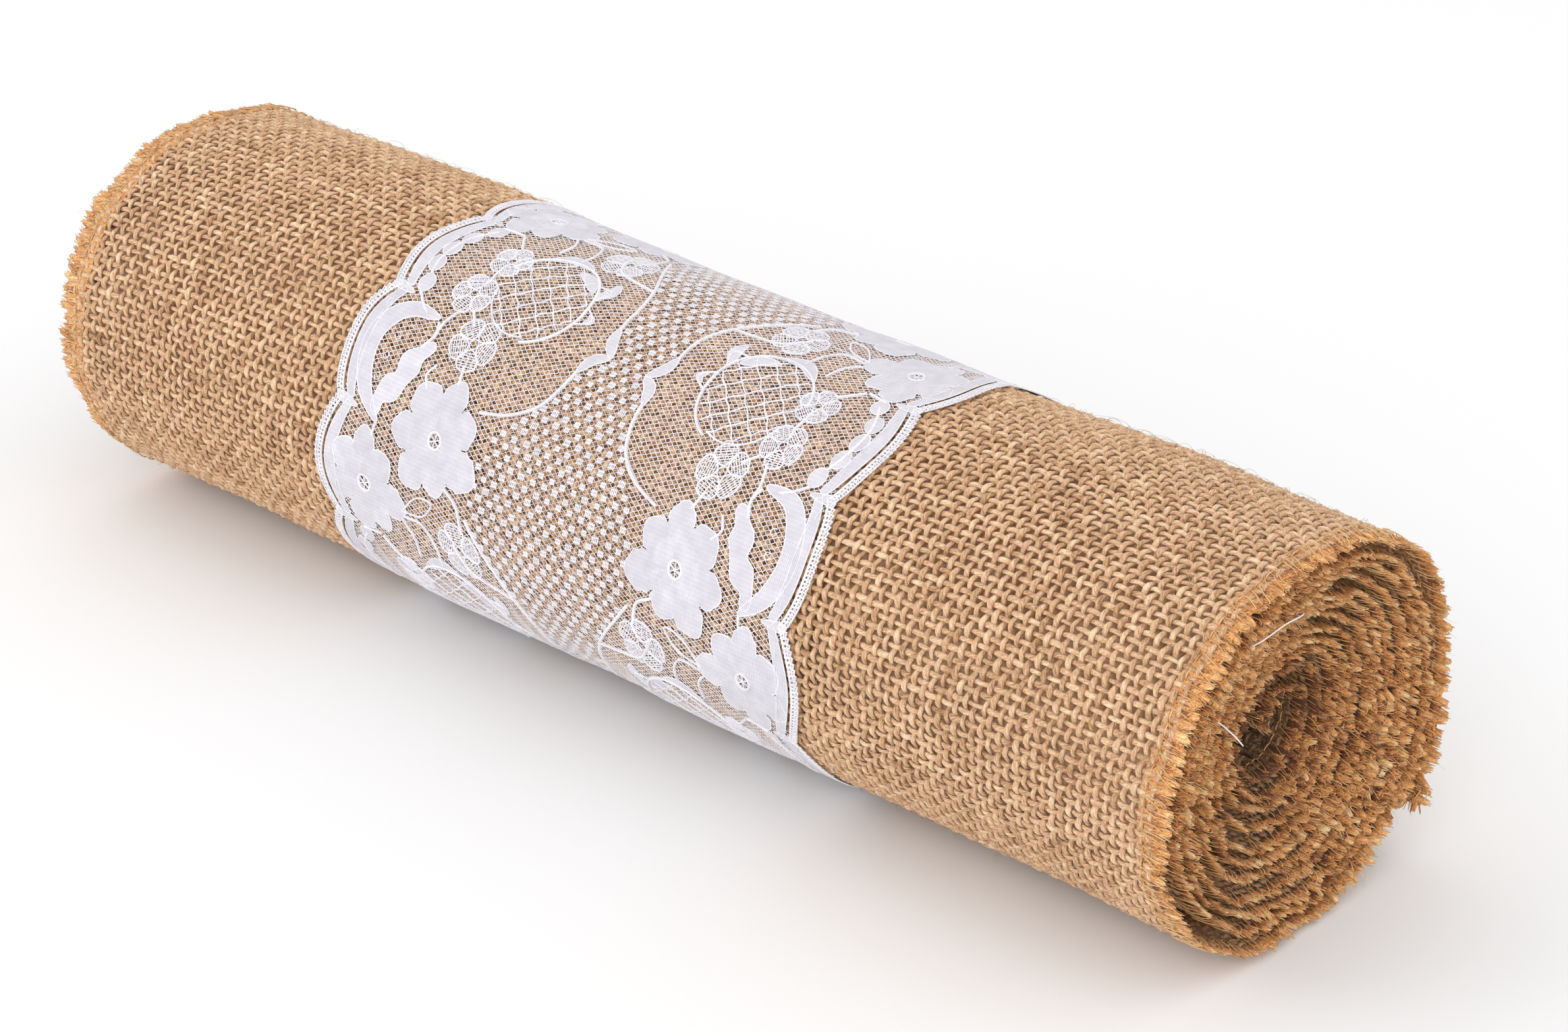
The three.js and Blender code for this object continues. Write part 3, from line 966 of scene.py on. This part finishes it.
def make_fuzz():
    """Single jute fibres that lie loose on the cloth, outside the lace."""
    pieces = []
    share = np.linspace(0, 1, 6)
    for zone in ("roll", "tail_upper", "tail_lower"):
        start, end = ZONES[zone]
        count = int((end - start) * 2 * (BARE_TO - BARE_FROM) / 100 * FUZZ_PER_CM2)
        side = random.choice((-1.0, 1.0), (count, 1))
        across = side * random.uniform(BARE_FROM, BARE_TO, (count, 1))
        along = random.uniform(start + 1, end - 1, (count, 1))
        long = random.gamma(3.0, 1.1, (count, 1))
        angle = random.uniform(0, 2 * np.pi, (count, 1)) + random.normal(0, 0.9, (count, 1)) * share
        step = long * np.gradient(share)
        across = across + np.cumsum(np.cos(angle) * step, 1)
        along = np.clip(along + np.cumsum(np.sin(angle) * step, 1), start, end)
        level = 0.1 + random.uniform(0.1, 0.9, (count, 1)) * np.sin(np.pi * share ** 0.8)
        fuzz = Threads()
        half = FUZZ_HALF * (1 - 0.4 * share)
        tone = random.normal(0.5, 0.2, count)
        fuzz.add(np.stack([across, along, level], -1), half, half, THREAD, tone)
        name = f"stray_fibres_{zone}"
        pieces.append(piece(name, fuzz.mesh(name), JUTE, zone, "burlap"))
    return pieces


# Thread ends in the roll's own millimetres, not on the flat cloth. They hang across the near end's hollow.
THREAD_ENDS = (
    ((151.5, -20.5, 62.5), (154.5, -16.6, 64.6), (155.5, -11.0, 66.3),
     (155.0, -5.5, 66.0), (152.0, -2.5, 64.5)),
    ((146.0, -27.5, 53.5), (151.0, -23.8, 51.0), (153.0, -20.8, 47.6), (153.5, -18.6, 44.8)),
)
THREAD_END_HALF = 0.14


def make_thread_ends():
    """Two ends of white sewing thread that hang out of the near end face."""
    ends = Threads()
    for points in THREAD_ENDS:
        ends.add(smooth_line(points, 0.8), THREAD_END_HALF, THREAD_END_HALF, circle(6), 0.3)
    mesh = ends.mesh("loose_thread_ends", rolled=False)
    return piece("loose_thread_ends", mesh, SEAM, "roll", "seam_thread")


# ---- Lace ----
# The lace is drawn as figures in (out, run): out from the lace's centre line towards either edge, and run
# along the cloth from a notch between two scallops. Both halves are the same drawing, and it repeats every
# three scallops.
SCALLOP = 25.0
LACE_REPEAT = 3 * SCALLOP
LACE_SKEW = 0.058
LACE_RUN_START = along_at(0.36) + 4.2
NET_LEVEL = 0.33
FIGURE_LEVEL = 0.42
FIGURE_HALF = 0.07
RIM_HALF = 0.13
FLOWER_HOLE = 1.7
SCALLOP_BULGE = 3.6
CORD_HALF = 0.20
OUTLINE_LEVEL = 0.47


def arc(centre, radius, start, end, count):
    angles = np.radians(np.linspace(start, end, count))
    return np.asarray(centre) + radius * np.stack([np.cos(angles), np.sin(angles)], 1)


def direction(angle):
    return np.array([math.cos(angle), math.sin(angle)])


def left_of(heading):
    return np.array([-heading[1], heading[0]])


class Drawing:
    """Lace figures of one repeat, as flat tubes: (line, half widths, half height, level, closed)."""

    def __init__(self):
        self.figures = []

    def tube(self, line, half, height, level, closed=False):
        """One flat tube. Its half width is one number, or one for each point of the line."""
        self.figures.append((line, np.full(len(line), half), height, level, closed))

    def cord(self, points, half=CORD_HALF, level=OUTLINE_LEVEL, step=0.9, closed=False):
        self.tube(smooth_line(points, step, closed), half, half * 0.8, level, closed)

    def fill(self, line, half, level=FIGURE_LEVEL, rim_from=0.0):
        """A solid figure round a line, with a cord round the part of its rim that lies past rim_from."""
        half = np.maximum(half, 0.04)
        self.tube(line, half, FIGURE_HALF, level)
        heading = np.gradient(line, axis=0)
        heading /= np.maximum(np.linalg.norm(heading, axis=1, keepdims=True), 1e-9)
        side = np.stack([-heading[:, 1], heading[:, 0]], 1) * half[:, None]
        first = int(rim_from * len(line))
        rim = np.concatenate([(line + side)[first:], (line - side)[first:][::-1]])
        self.tube(rim, RIM_HALF, FIGURE_HALF, level + 0.03, rim_from == 0.0)

    def leaf(self, points, width, lobes=0, lean=1.0, blunt=0.6, ragged=0.0, **kind):
        """A leaf or petal along a line, widest in the middle or, with lean over 1, nearer its end."""
        line = smooth_line(points, 0.8)
        steps = np.concatenate([[0], np.cumsum(np.linalg.norm(np.diff(line, axis=0), axis=1))])
        even = (1 - np.cos(np.pi * np.linspace(0, 1, max(9, len(line))))) / 2
        line = np.stack([np.interp(even * steps[-1], steps, line[:, k]) for k in (0, 1)], 1)
        half = width / 2 * np.sin(np.pi * even ** lean) ** blunt
        if lobes:
            half = half * (1 + 0.22 * np.cos(2 * np.pi * lobes * even))
        half = half * (1 + ragged * np.sin(2 * np.pi * 4.3 * even))
        self.fill(line, half, **kind)

    def flower(self, centre, radius, petals, turn=0.0):
        """A solid flower: uneven petals, a disc that joins them, a ring round its eye and spokes over it."""
        centre = np.asarray(centre, float)
        for number in range(petals):
            heading = direction(turn + 2 * math.pi * number / petals)
            reach = radius * (1 + 0.11 * math.sin(2.6 * number + turn))
            bow = left_of(heading) * 0.5 * math.sin(1.9 * number)
            points = [centre + heading * FLOWER_HOLE * 0.9, centre + heading * reach * 0.55 + bow,
                      centre + heading * reach]
            width = 2.25 * radius * math.tan(math.pi / petals) * (0.57 + 0.07 * math.sin(2.3 * number))
            self.leaf(points, width, lean=1.35, blunt=0.6, ragged=0.08, rim_from=0.55,
                      level=FIGURE_LEVEL + 0.02 * (number % 2))
        half = (0.52 * radius - FLOWER_HOLE) / 2
        middle = arc(centre, FLOWER_HOLE + half, 0, 337.5, 16)
        self.tube(middle, half, FIGURE_HALF, FIGURE_LEVEL + 0.02, closed=True)
        self.cord(arc(centre, FLOWER_HOLE, 0, 315, 8), 0.28, OUTLINE_LEVEL + 0.05, 0.6, closed=True)
        for angle in (0.4, 1.5, 2.6):
            spoke = direction(angle) * FLOWER_HOLE
            self.cord([centre - spoke, centre + spoke], 0.13, OUTLINE_LEVEL, 1.2)

    def open_flower(self, centre, radius, petals, turn=0.0):
        """A small flower of outlined petals with hatching in them."""
        centre = np.asarray(centre, float)
        for number in range(petals):
            heading = direction(turn + 2 * math.pi * number / petals)
            aside = left_of(heading)
            width = radius * math.tan(math.pi / petals) * 0.85
            rim = [centre + heading * radius * r + aside * width * w
                   for r, w in ((0.22, 0), (0.6, 0.75), (0.92, 0.6), (1.05, 0), (0.92, -0.6), (0.6, -0.75))]
            self.cord(rim, 0.17, OUTLINE_LEVEL, 0.8, closed=True)
            for row in (0.36, 0.46, 0.56, 0.66, 0.76, 0.86, 0.96):
                reach = width * (0.75 if row > 0.45 else 0.5)
                ends = [centre + heading * radius * row + aside * reach * w for w in (-1, 1)]
                self.cord(ends, 0.10, FIGURE_LEVEL, 2.0)
            for place_aside in (-0.4, 0.0, 0.4):
                ends = [centre + heading * radius * r + aside * width * place_aside for r in (0.35, 1.0)]
                self.cord(ends, 0.09, FIGURE_LEVEL, 2.0)
        self.cord(arc(centre, 0.2 * radius, 0, 300, 6), 0.12, OUTLINE_LEVEL, 0.6, closed=True)


def scallop_bulge(run):
    """How far the scalloped edge stands out past its notches."""
    share = np.mod(run / SCALLOP, 1.0)
    return SCALLOP_BULGE * np.sin(np.pi * share) ** 0.75


NOTCH_OUT = 61.8


def draw_edge(drawing):
    """The scalloped edge: a looped cord, a ladder, a satin band, and a bar at each notch."""
    run = np.arange(0, LACE_REPEAT + 0.01, 0.5)
    outer = NOTCH_OUT + scallop_bulge(run)
    fine = np.arange(0, LACE_REPEAT + 0.01, 0.21)
    loops = 0.5 * np.sin(2 * np.pi * fine / 1.05)
    rope_out = NOTCH_OUT - 0.1 + scallop_bulge(fine) + loops
    rope_run = fine - 0.45 * np.sin(4 * np.pi * fine / 1.05)
    drawing.tube(np.stack([rope_out, rope_run], 1), 0.24, 0.12, OUTLINE_LEVEL)
    drawing.tube(np.stack([outer - 1.3, run], 1), 0.24, 0.12, OUTLINE_LEVEL)
    for rung in np.arange(0.4, LACE_REPEAT, 0.8):
        out = NOTCH_OUT + scallop_bulge(rung)
        line = np.array([[out - 0.2, rung], [out - 0.9, rung + 0.15], [out - 1.55, rung + 0.3]])
        drawing.tube(line, 0.22, 0.10, FIGURE_LEVEL)
    for scallop in range(3):
        share = (1 - np.cos(np.pi * np.linspace(0.0, 1.0, 31))) / 2
        run = (scallop + 0.02 + 0.96 * share) * SCALLOP
        middle = NOTCH_OUT - 3.7 + scallop_bulge(run) * 0.98
        half = 0.75 + 0.7 * np.sin(np.pi * share) ** 0.7
        drawing.fill(np.stack([middle, run], 1), half)
        notch = scallop * SCALLOP
        bar = np.linspace((NOTCH_OUT + 0.4, notch), (NOTCH_OUT - 5.4, notch + 0.5), 5)
        drawing.fill(bar, np.array([0.5, 1.0, 0.8, 0.6, 0.2]))


def draw_beads(drawing):
    """A chain of five ovals that follows the first scallop."""
    line = smooth_line([(54.6, 3.0), (57.4, 7.6), (58.2, 12.4), (57.8, 17.2), (55.8, 22.2)], 1.0)
    last = len(line) - 1
    for number in range(5):
        here = round(number / 4 * last)
        centre = line[here]
        before, after = line[max(0, here - 1)], line[min(last, here + 1)]
        heading = (after - before) / np.linalg.norm(after - before)
        drawing.leaf([centre - heading * 2.3, centre, centre + heading * 2.3], 3.7, blunt=0.5)
    drawing.cord(line[::3], 0.3)
    drawing.cord([(49.5, 0.5), (54.6, 1.2)], 0.3)
    drawing.cord([(55.4, 24.4), (52.5, 26.6), (50.0, 27.8)], 0.3)


def draw_crescent(drawing):
    """A crescent that follows the second scallop, with a lobed leaf in its arms."""
    crescent = [(46.5, 27.6), (54.0, 28.6), (58.6, 34.0), (59.2, 40.0), (56.0, 46.5), (50.5, 51.5)]
    drawing.leaf(crescent, 4.2, blunt=0.45)
    lobed = [(43.6, 32.6), (47.0, 37.2), (48.2, 42.0), (51.6, 47.0), (51.4, 50.5)]
    drawing.leaf(lobed, 5.2, lobes=3, blunt=0.5)
    drawing.cord([(46.0, 28.5), (45.0, 31.0), (46.8, 34.6)], 0.3)
    for spot in ((53.6, 34.6), (54.4, 39.0), (54.2, 43.4)):
        drawing.cord(arc(spot, 0.75, 0, 300, 6), 0.10, NET_LEVEL + 0.05, 0.7)


ROUNDEL = (30.2, 13.2)
ROUNDEL_RADIUS = 12.0


def draw_roundel(drawing):
    """A ring filled with a lattice, leaves on top of it and picots inside."""
    centre = np.array(ROUNDEL)
    drawing.cord(arc(centre, ROUNDEL_RADIUS, 110, 345, 22), 0.30)
    drawing.cord(arc(centre, ROUNDEL_RADIUS - 1.1, 20, 110, 8), 0.2)
    for slope in (0.72, -0.72):
        heading = np.array([math.cos(slope), math.sin(slope)])
        normal = np.array([-heading[1], heading[0]])
        for offset in np.arange(-9.0, 9.1, 3.6):
            reach = math.sqrt(max((ROUNDEL_RADIUS - 0.8) ** 2 - offset ** 2, 0))
            count = 11
            waviness = 0.22 * np.sin(np.arange(count) * 2.4 + offset)
            line = centre + normal * offset + heading * np.linspace(-reach, reach, count)[:, None]
            line = line + normal * waviness[:, None]
            drawing.cord(line, 0.15, FIGURE_LEVEL + 0.04, 1.4)
    drawing.leaf([centre + (7.5, -9.6), centre + (2.5, -12.6), centre + (-2.8, -12.0)], 2.6)
    drawing.leaf([centre + (-1.5, -9.8), centre + (-5.5, -8.8), centre + (-9.3, -6.0)], 2.6)
    drawing.leaf([centre + (-10.6, -5.2), centre + (-12.6, -8.0), centre + (-11.8, -11.0)], 2.8)
    for turn in (178, 212):
        start = arc(centre, ROUNDEL_RADIUS + 0.2, turn - 11, turn - 11, 1)[0]
        end = arc(centre, ROUNDEL_RADIUS + 0.2, turn + 11, turn + 11, 1)[0]
        peak = arc(centre, ROUNDEL_RADIUS + 3.0, turn, turn, 1)[0]
        drawing.cord([start, (start + peak) / 2 + (peak - (start + end) / 2) * 0.2, peak,
                      (end + peak) / 2 + (peak - (start + end) / 2) * 0.2, end], 0.22)
        drawing.leaf([(start + peak) / 2, peak, (end + peak) / 2], 1.5)


def draw_field_cord(drawing):
    """The cord that bounds the dotted field, with two leaves at its inward point."""
    drawing.cord([(22.0, -14.0), (18.0, -9.0), (14.0, -4.0), (11.0, 0.5), (8.8, 6.0), (8.2, 12.5)], 0.34)
    drawing.leaf([(8.2, 12.0), (7.6, 15.5), (4.9, 19.0)], 2.5)
    drawing.leaf([(4.9, 19.0), (8.0, 20.8), (9.4, 24.6)], 2.5)
    drawing.cord([(9.2, 24.0), (10.2, 29.0), (12.8, 34.0), (18.5, 38.0), (25.5, 40.2)], 0.36)
    drawing.cord([(26.5, -7.0), (23.0, -2.2), (17.0, -0.9), (11.4, -0.4)], 0.32)
    drawing.cord([(28.5, 57.0), (24.5, 59.5), (23.0, 64.5)], 0.32)


def draw_flowers(drawing):
    drawing.flower((51.5, 64.8), 11.0, 7, 0.35)
    drawing.flower((33.8, 49.2), 12.2, 7, 0.1)
    drawing.open_flower((35.2, 29.0), 5.6, 5, 0.5)
    drawing.open_flower((44.2, 19.6), 4.8, 5, 0.2)
    drawing.open_flower((43.6, 8.8), 4.4, 5, 0.9)
    drawing.open_flower((24.6, 69.0), 5.6, 5, 1.1)
    drawing.cord([(49.0, 0.8), (47.0, 3.0), (45.0, 5.0)], 0.3)
    drawing.cord([(43.8, 12.5), (43.4, 16.0)], 0.28)
    drawing.cord([(41.0, 23.0), (38.0, 25.8)], 0.28)
    drawing.cord([(34.6, 33.6), (33.6, 37.6)], 0.3)
    drawing.cord([(43.6, 24.0), (45.0, 28.0), (45.2, 31.0)], 0.3)
    drawing.cord([(50.6, 51.5), (51.0, 54.4)], 0.26)
    drawing.cord([(41.0, 36.0), (42.4, 38.6), (40.6, 41.0)], 0.24)
    # a pair of open leaves between the big flowers and the small one
    drawing.cord([(40.6, 66.6), (36.0, 62.0), (31.6, 61.6), (34.6, 65.4), (40.6, 66.6)], 0.2)
    drawing.cord([(40.2, 67.6), (35.0, 67.4), (32.4, 71.0), (32.0, 75.6)], 0.26)
    drawing.cord([(41.0, 68.4), (38.6, 71.6), (38.2, 76.0)], 0.26)


FIELD_EDGE = (
    (0, 6, 12, 19, 25, 33, 38, 44, 52, 58, 66, 71, 75),
    (9.5, 7.5, 6.6, 3.2, 7.8, 10.8, 16.5, 20.5, 22.0, 22.5, 18.0, 14.0, 9.5),
)


def field_edge(run):
    """How far the dotted field reaches from the lace's centre line."""
    return np.interp(np.mod(run, LACE_REPEAT), FIELD_EDGE[0], FIELD_EDGE[1])


def draw_field_dots():
    """Small woven squares in staggered rows, between the two field cords."""
    column_gap, row_gap = 1.6, LACE_REPEAT / 38
    for column in range(-16, 17):
        for row in range(19):
            run = (2 * row + column % 2) * row_gap
            if abs(column * column_gap) < field_edge(run):
                yield column * column_gap, run


def lace_point(out, run, half):
    """A point of the drawing as (across, along) on the flat cloth, in the far half (-1) or the near (1)."""
    across = half * out
    return np.stack([LACE_CENTRE + across, LACE_RUN_START + run + LACE_SKEW * across], -1)


LACE_START = 1.5
ZONE_NAMES = list(ZONES)
ZONE_LIMITS = [LACE_START] + [end for start, end in ZONES.values()]


def cut_by_zone(flat, half, closed):
    """The parts of a figure's line that lie in one zone each: (zone, line, half widths, closed)."""
    where = np.searchsorted(ZONE_LIMITS, flat[:, 1])
    if closed and where.min() != where.max():
        turn = int(np.argmax(where != np.roll(where, 1)))
        order = np.append(np.roll(np.arange(len(flat)), -turn), turn)
        flat, half, where, closed = flat[order], half[order], where[order], False
    cuts = [0, *(np.flatnonzero(np.diff(where)) + 1), len(flat)]
    for first, last in zip(cuts[:-1], cuts[1:]):
        number = where[first] - 1
        past = last if closed else min(last + 1, len(flat))
        if 0 <= number < len(ZONE_NAMES) and past - first > 1:
            yield ZONE_NAMES[number], flat[first:past], half[first:past], closed


def figures_by_zone(bundles, figures):
    """Repeats the drawing along the cloth in both halves, each part of a figure in the zone where it lies."""
    first = math.floor(-(LACE_RUN_START + LACE_REPEAT) / LACE_REPEAT)
    for repeat in range(first, 4):
        for half in (-1, 1):
            for line, half_width, half_height, level, closed in figures:
                flat = lace_point(line[:, 0], line[:, 1] + repeat * LACE_REPEAT, half)
                wide = half_width
                if half > 0:
                    flat, wide = flat[::-1], wide[::-1]
                satin = wide.max() > 0.5
                section = SATIN if satin else CORD
                # Thin threads get painted light.
                tone = random.normal(0 if satin else THIN_PAINTED_LIGHT, 0.04)
                for zone, part, part_half, ring in cut_by_zone(flat, wide, closed):
                    path = np.concatenate([part, np.full((len(part), 1), level)], 1)
                    side = "far" if half < 0 else "near"
                    bundles[zone][side].add(path, part_half, half_height, section, tone, LEVEL, ring, True)


# Painted light: thin lace threads (cords, net, dots) are painted lighter than the flat figures, against the
# shade on their narrow sides.
THIN_PAINTED_LIGHT = 0.3
NET_PITCH, NET_CELL = 0.88, 1.05
NET_HALF = (0.115, 0.045)
FIELD_NET_HALF = 0.075


def net_threads(threads, zone, out_from, out_to):
    """The net: zigzag threads along the lace that meet their neighbours at every corner."""
    start, end = ZONES[zone]
    columns = np.arange(math.ceil(out_from / NET_PITCH), math.floor(out_to / NET_PITCH) + 1)
    rows = np.arange(math.floor(start / NET_CELL * 2), math.ceil(end / NET_CELL * 2) + 1)
    s = np.clip(rows * NET_CELL / 2, start, end)
    across = columns[:, None] * NET_PITCH
    sign = np.where((rows[None] + columns[:, None]) % 2, 1, -1)
    u = across + sign * NET_PITCH * 0.43 + random.normal(0, 0.03, sign.shape)
    along = s[None] + LACE_SKEW * across + random.normal(0, 0.03, sign.shape)
    along = np.clip(along, start, end) if zone == "tail_lower" else along
    level = NET_LEVEL + 0.05 * np.sin(u * 1.3) + random.normal(0, 0.02, sign.shape)
    paths = np.stack([LACE_CENTRE + u, along, level], -1)
    run = along - LACE_RUN_START - LACE_SKEW * across
    half = np.where(np.abs(u) < field_edge(run), FIELD_NET_HALF, NET_HALF[0])
    tone = random.normal(THIN_PAINTED_LIGHT, 0.05, len(columns))
    threads.add(paths, half, NET_HALF[1], RIBBON, tone, LEVEL, False, True)


# The strokes of one dot, in millimetres from its middle: (from across, from along, to across, to along).
DOT_STROKES = [(u, -0.68, u, 0.68) for u in (-0.60, -0.20, 0.20, 0.60)]
DOT_STROKES += [(-0.78, 0.42, 0.78, 0.30), (-0.78, -0.30, 0.78, -0.42)]
DOT_HALF = 0.105


def dots(bundles):
    """The woven squares of the field, each of four strokes and two across them."""
    places = np.array(list(draw_field_dots()))
    for repeat in range(-3, 4):
        across = places[:, 0]
        along = LACE_RUN_START + places[:, 1] + repeat * LACE_REPEAT + LACE_SKEW * across
        for zone, (start, end) in ZONES.items():
            inside = (along >= max(start, 2.0)) & (along < end)
            if not inside.any():
                continue
            count = int(inside.sum())
            dot_across = LACE_CENTRE + across[inside] + random.normal(0, 0.13, count)
            dot_along = along[inside] + random.normal(0, 0.13, count)
            level = np.full(count, FIGURE_LEVEL)
            size = random.uniform(0.8, 1.1, count)
            for stroke in DOT_STROKES:
                ends = [np.stack([dot_across + size * stroke[k], dot_along + size * stroke[k + 1], level], -1)
                        for k in (0, 2)]
                tone = random.normal(THIN_PAINTED_LIGHT, 0.06, count)
                bundles[zone]["field"].add(np.stack(ends, 1), DOT_HALF, 0.06, RIBBON, tone,
                                           flat_grain=True)


SEAM_STITCH = 3.0
SEAM_OUT = NOTCH_OUT - 1.6


def seam_stitches(threads, zone):
    """The two rows of stitches that hold the lace on the burlap."""
    start, end = ZONES[zone]
    count = round((end - start) / SEAM_STITCH)
    share = np.linspace(-0.46, 0.46, 5)
    places = start + (np.arange(count)[:, None] + 0.5) * (end - start) / count
    for side in (-1, 1):
        s = places + share * (end - start) / count
        u = LACE_CENTRE + side * SEAM_OUT + random.normal(0, 0.08, (count, 1)) + 0 * share
        level = OUTLINE_LEVEL + 0.08 - 0.3 * np.abs(2 * share) ** 3 + 0 * u
        threads.add(np.stack([u, s, level], -1), 0.11, 0.10, circle(4), random.normal(0.2, 0.1, count))


def lace_bundles():
    """Threads for each zone of the lace: its far half, its near half and the field between them.

    The tail's own zones are small, so there the three are one."""
    bundles = {}
    for zone in ZONES:
        whole = Threads(LACE_START)
        parts = [whole] * 3 if zone.startswith("tail") else [Threads(LACE_START) for _ in range(3)]
        bundles[zone] = dict(zip(("far", "near", "field"), parts))
    return bundles


def make_lace():
    drawing = Drawing()
    for draw in (draw_edge, draw_beads, draw_crescent, draw_roundel, draw_field_cord, draw_flowers):
        draw(drawing)
    bundles = lace_bundles()
    figures_by_zone(bundles, drawing.figures)
    dots(bundles)
    net_reach = NOTCH_OUT - 0.6
    pieces = []
    for zone in ("tail_upper", "tail_lower", "under_tail"):
        net_threads(bundles[zone]["field"], zone, -net_reach, net_reach)
    third = net_reach / 3
    spans = (("lace_net_far", -net_reach, -third - 0.4), ("lace_net_middle", -third, third),
             ("lace_net_near", third + 0.4, net_reach))
    for name, out_from, out_to in spans:
        net = Threads()
        net_threads(net, "roll", out_from, out_to)
        pieces.append(piece(name, net.mesh(name, smooth=False), LACE, "roll", "lace"))
    for zone, parts in bundles.items():
        body = "roll" if zone == "under_tail" else zone
        for side, bundle in parts.items():
            name = f"lace_pattern_{side}_{zone}"
            pieces.append(piece(name, bundle.mesh(name, smooth=False), LACE, zone, "lace", f"lace_{body}"))
            if bundle is parts["near"] and bundle is parts["far"]:
                break
        seam = Threads()
        seam_stitches(seam, zone)
        name = f"lace_seam_{zone}"
        nodes = (f"near_lace_seam_{body}", f"far_lace_seam_{body}")
        pieces.append(piece(name, seam.mesh(name), SEAM, zone, "seam_thread", *nodes))
    return pieces


# ---- Camera, floor and light ----
CAMERA_AZIMUTH, CAMERA_ELEVATION = math.radians(44.049), math.radians(26.11)
CAMERA_TARGET, CAMERA_DISTANCE = (58.872, -35.107, 62.692), 887.68
FOCAL_LENGTH, SENSOR_WIDTH = 112.3009, 36.0
FLOOR_HALF, FLOOR_DROP, FLOOR_GREY = 6.0, 0.4, (0.92, 0.92, 0.925, 1)
LIGHT_SIZE = 0.9
# (name, place in metres, power in watts)
LIGHTS = (("key", (0.9, -1.1, 0.7), 4.5), ("side", (-0.8, -1.1, 0.8), 3.5))
LIGHT_TARGET = Vector((0, 0, 0.04))


def make_camera():
    data = bpy.data.cameras.new("camera")
    camera = bpy.data.objects.new("camera", data)
    bpy.context.scene.collection.objects.link(camera)
    level = math.cos(CAMERA_ELEVATION)
    back = Vector((math.sin(CAMERA_AZIMUTH) * level, -math.cos(CAMERA_AZIMUTH) * level,
                   math.sin(CAMERA_ELEVATION)))
    camera.location = (Vector(CAMERA_TARGET) + back * CAMERA_DISTANCE) * MM
    camera.rotation_mode = "QUATERNION"
    camera.rotation_quaternion = (-back).to_track_quat("-Z", "Y")
    data.sensor_width = SENSOR_WIDTH
    data.lens = FOCAL_LENGTH
    data.clip_start = 0.05
    data.clip_end = 20
    bpy.context.scene.camera = camera


def make_floor():
    mesh = bpy.data.meshes.new("floor")
    corners = [(x * FLOOR_HALF, y * FLOOR_HALF, 0) for x, y in ((-1, -1), (1, -1), (1, 1), (-1, 1))]
    mesh.from_pydata(corners, [], [(0, 1, 2, 3)])
    floor = bpy.data.objects.new("floor", mesh)
    floor.location.z = -FLOOR_DROP * MM
    bpy.context.scene.collection.objects.link(floor)
    material, tree, principled = shader("pale_floor", 0.8, 0.0)
    principled.inputs["Base Color"].default_value = FLOOR_GREY
    mesh.materials.append(material)


def area_light(name, place_at, power):
    data = bpy.data.lights.new(name, "AREA")
    data.shape = "DISK"
    data.size = LIGHT_SIZE
    data.energy = power
    light = bpy.data.objects.new(name, data)
    light.location = place_at
    aim = LIGHT_TARGET - Vector(place_at)
    light.rotation_mode = "QUATERNION"
    light.rotation_quaternion = aim.to_track_quat("-Z", "Y")
    bpy.context.scene.collection.objects.link(light)


def make_light():
    world = bpy.data.worlds.new("studio")
    bpy.context.scene.world = world
    world.use_nodes = True
    background = world.node_tree.nodes["Background"]
    background.inputs["Color"].default_value = (1.0, 1.0, 1.0, 1)
    background.inputs["Strength"].default_value = 1.0
    for name, place_at, power in LIGHTS:
        area_light(name, place_at, power)
    bpy.context.scene.view_settings.view_transform = "Standard"


make_camera()
make_floor()
make_light()
burlap = make_burlap()
burlap.append(make_core_weave())
inner_cloth, inner_lace = make_inner_laps()
edges = make_edges() + make_hems()
lace = make_lace()
fuzz = make_fuzz()
thread_ends = make_thread_ends()
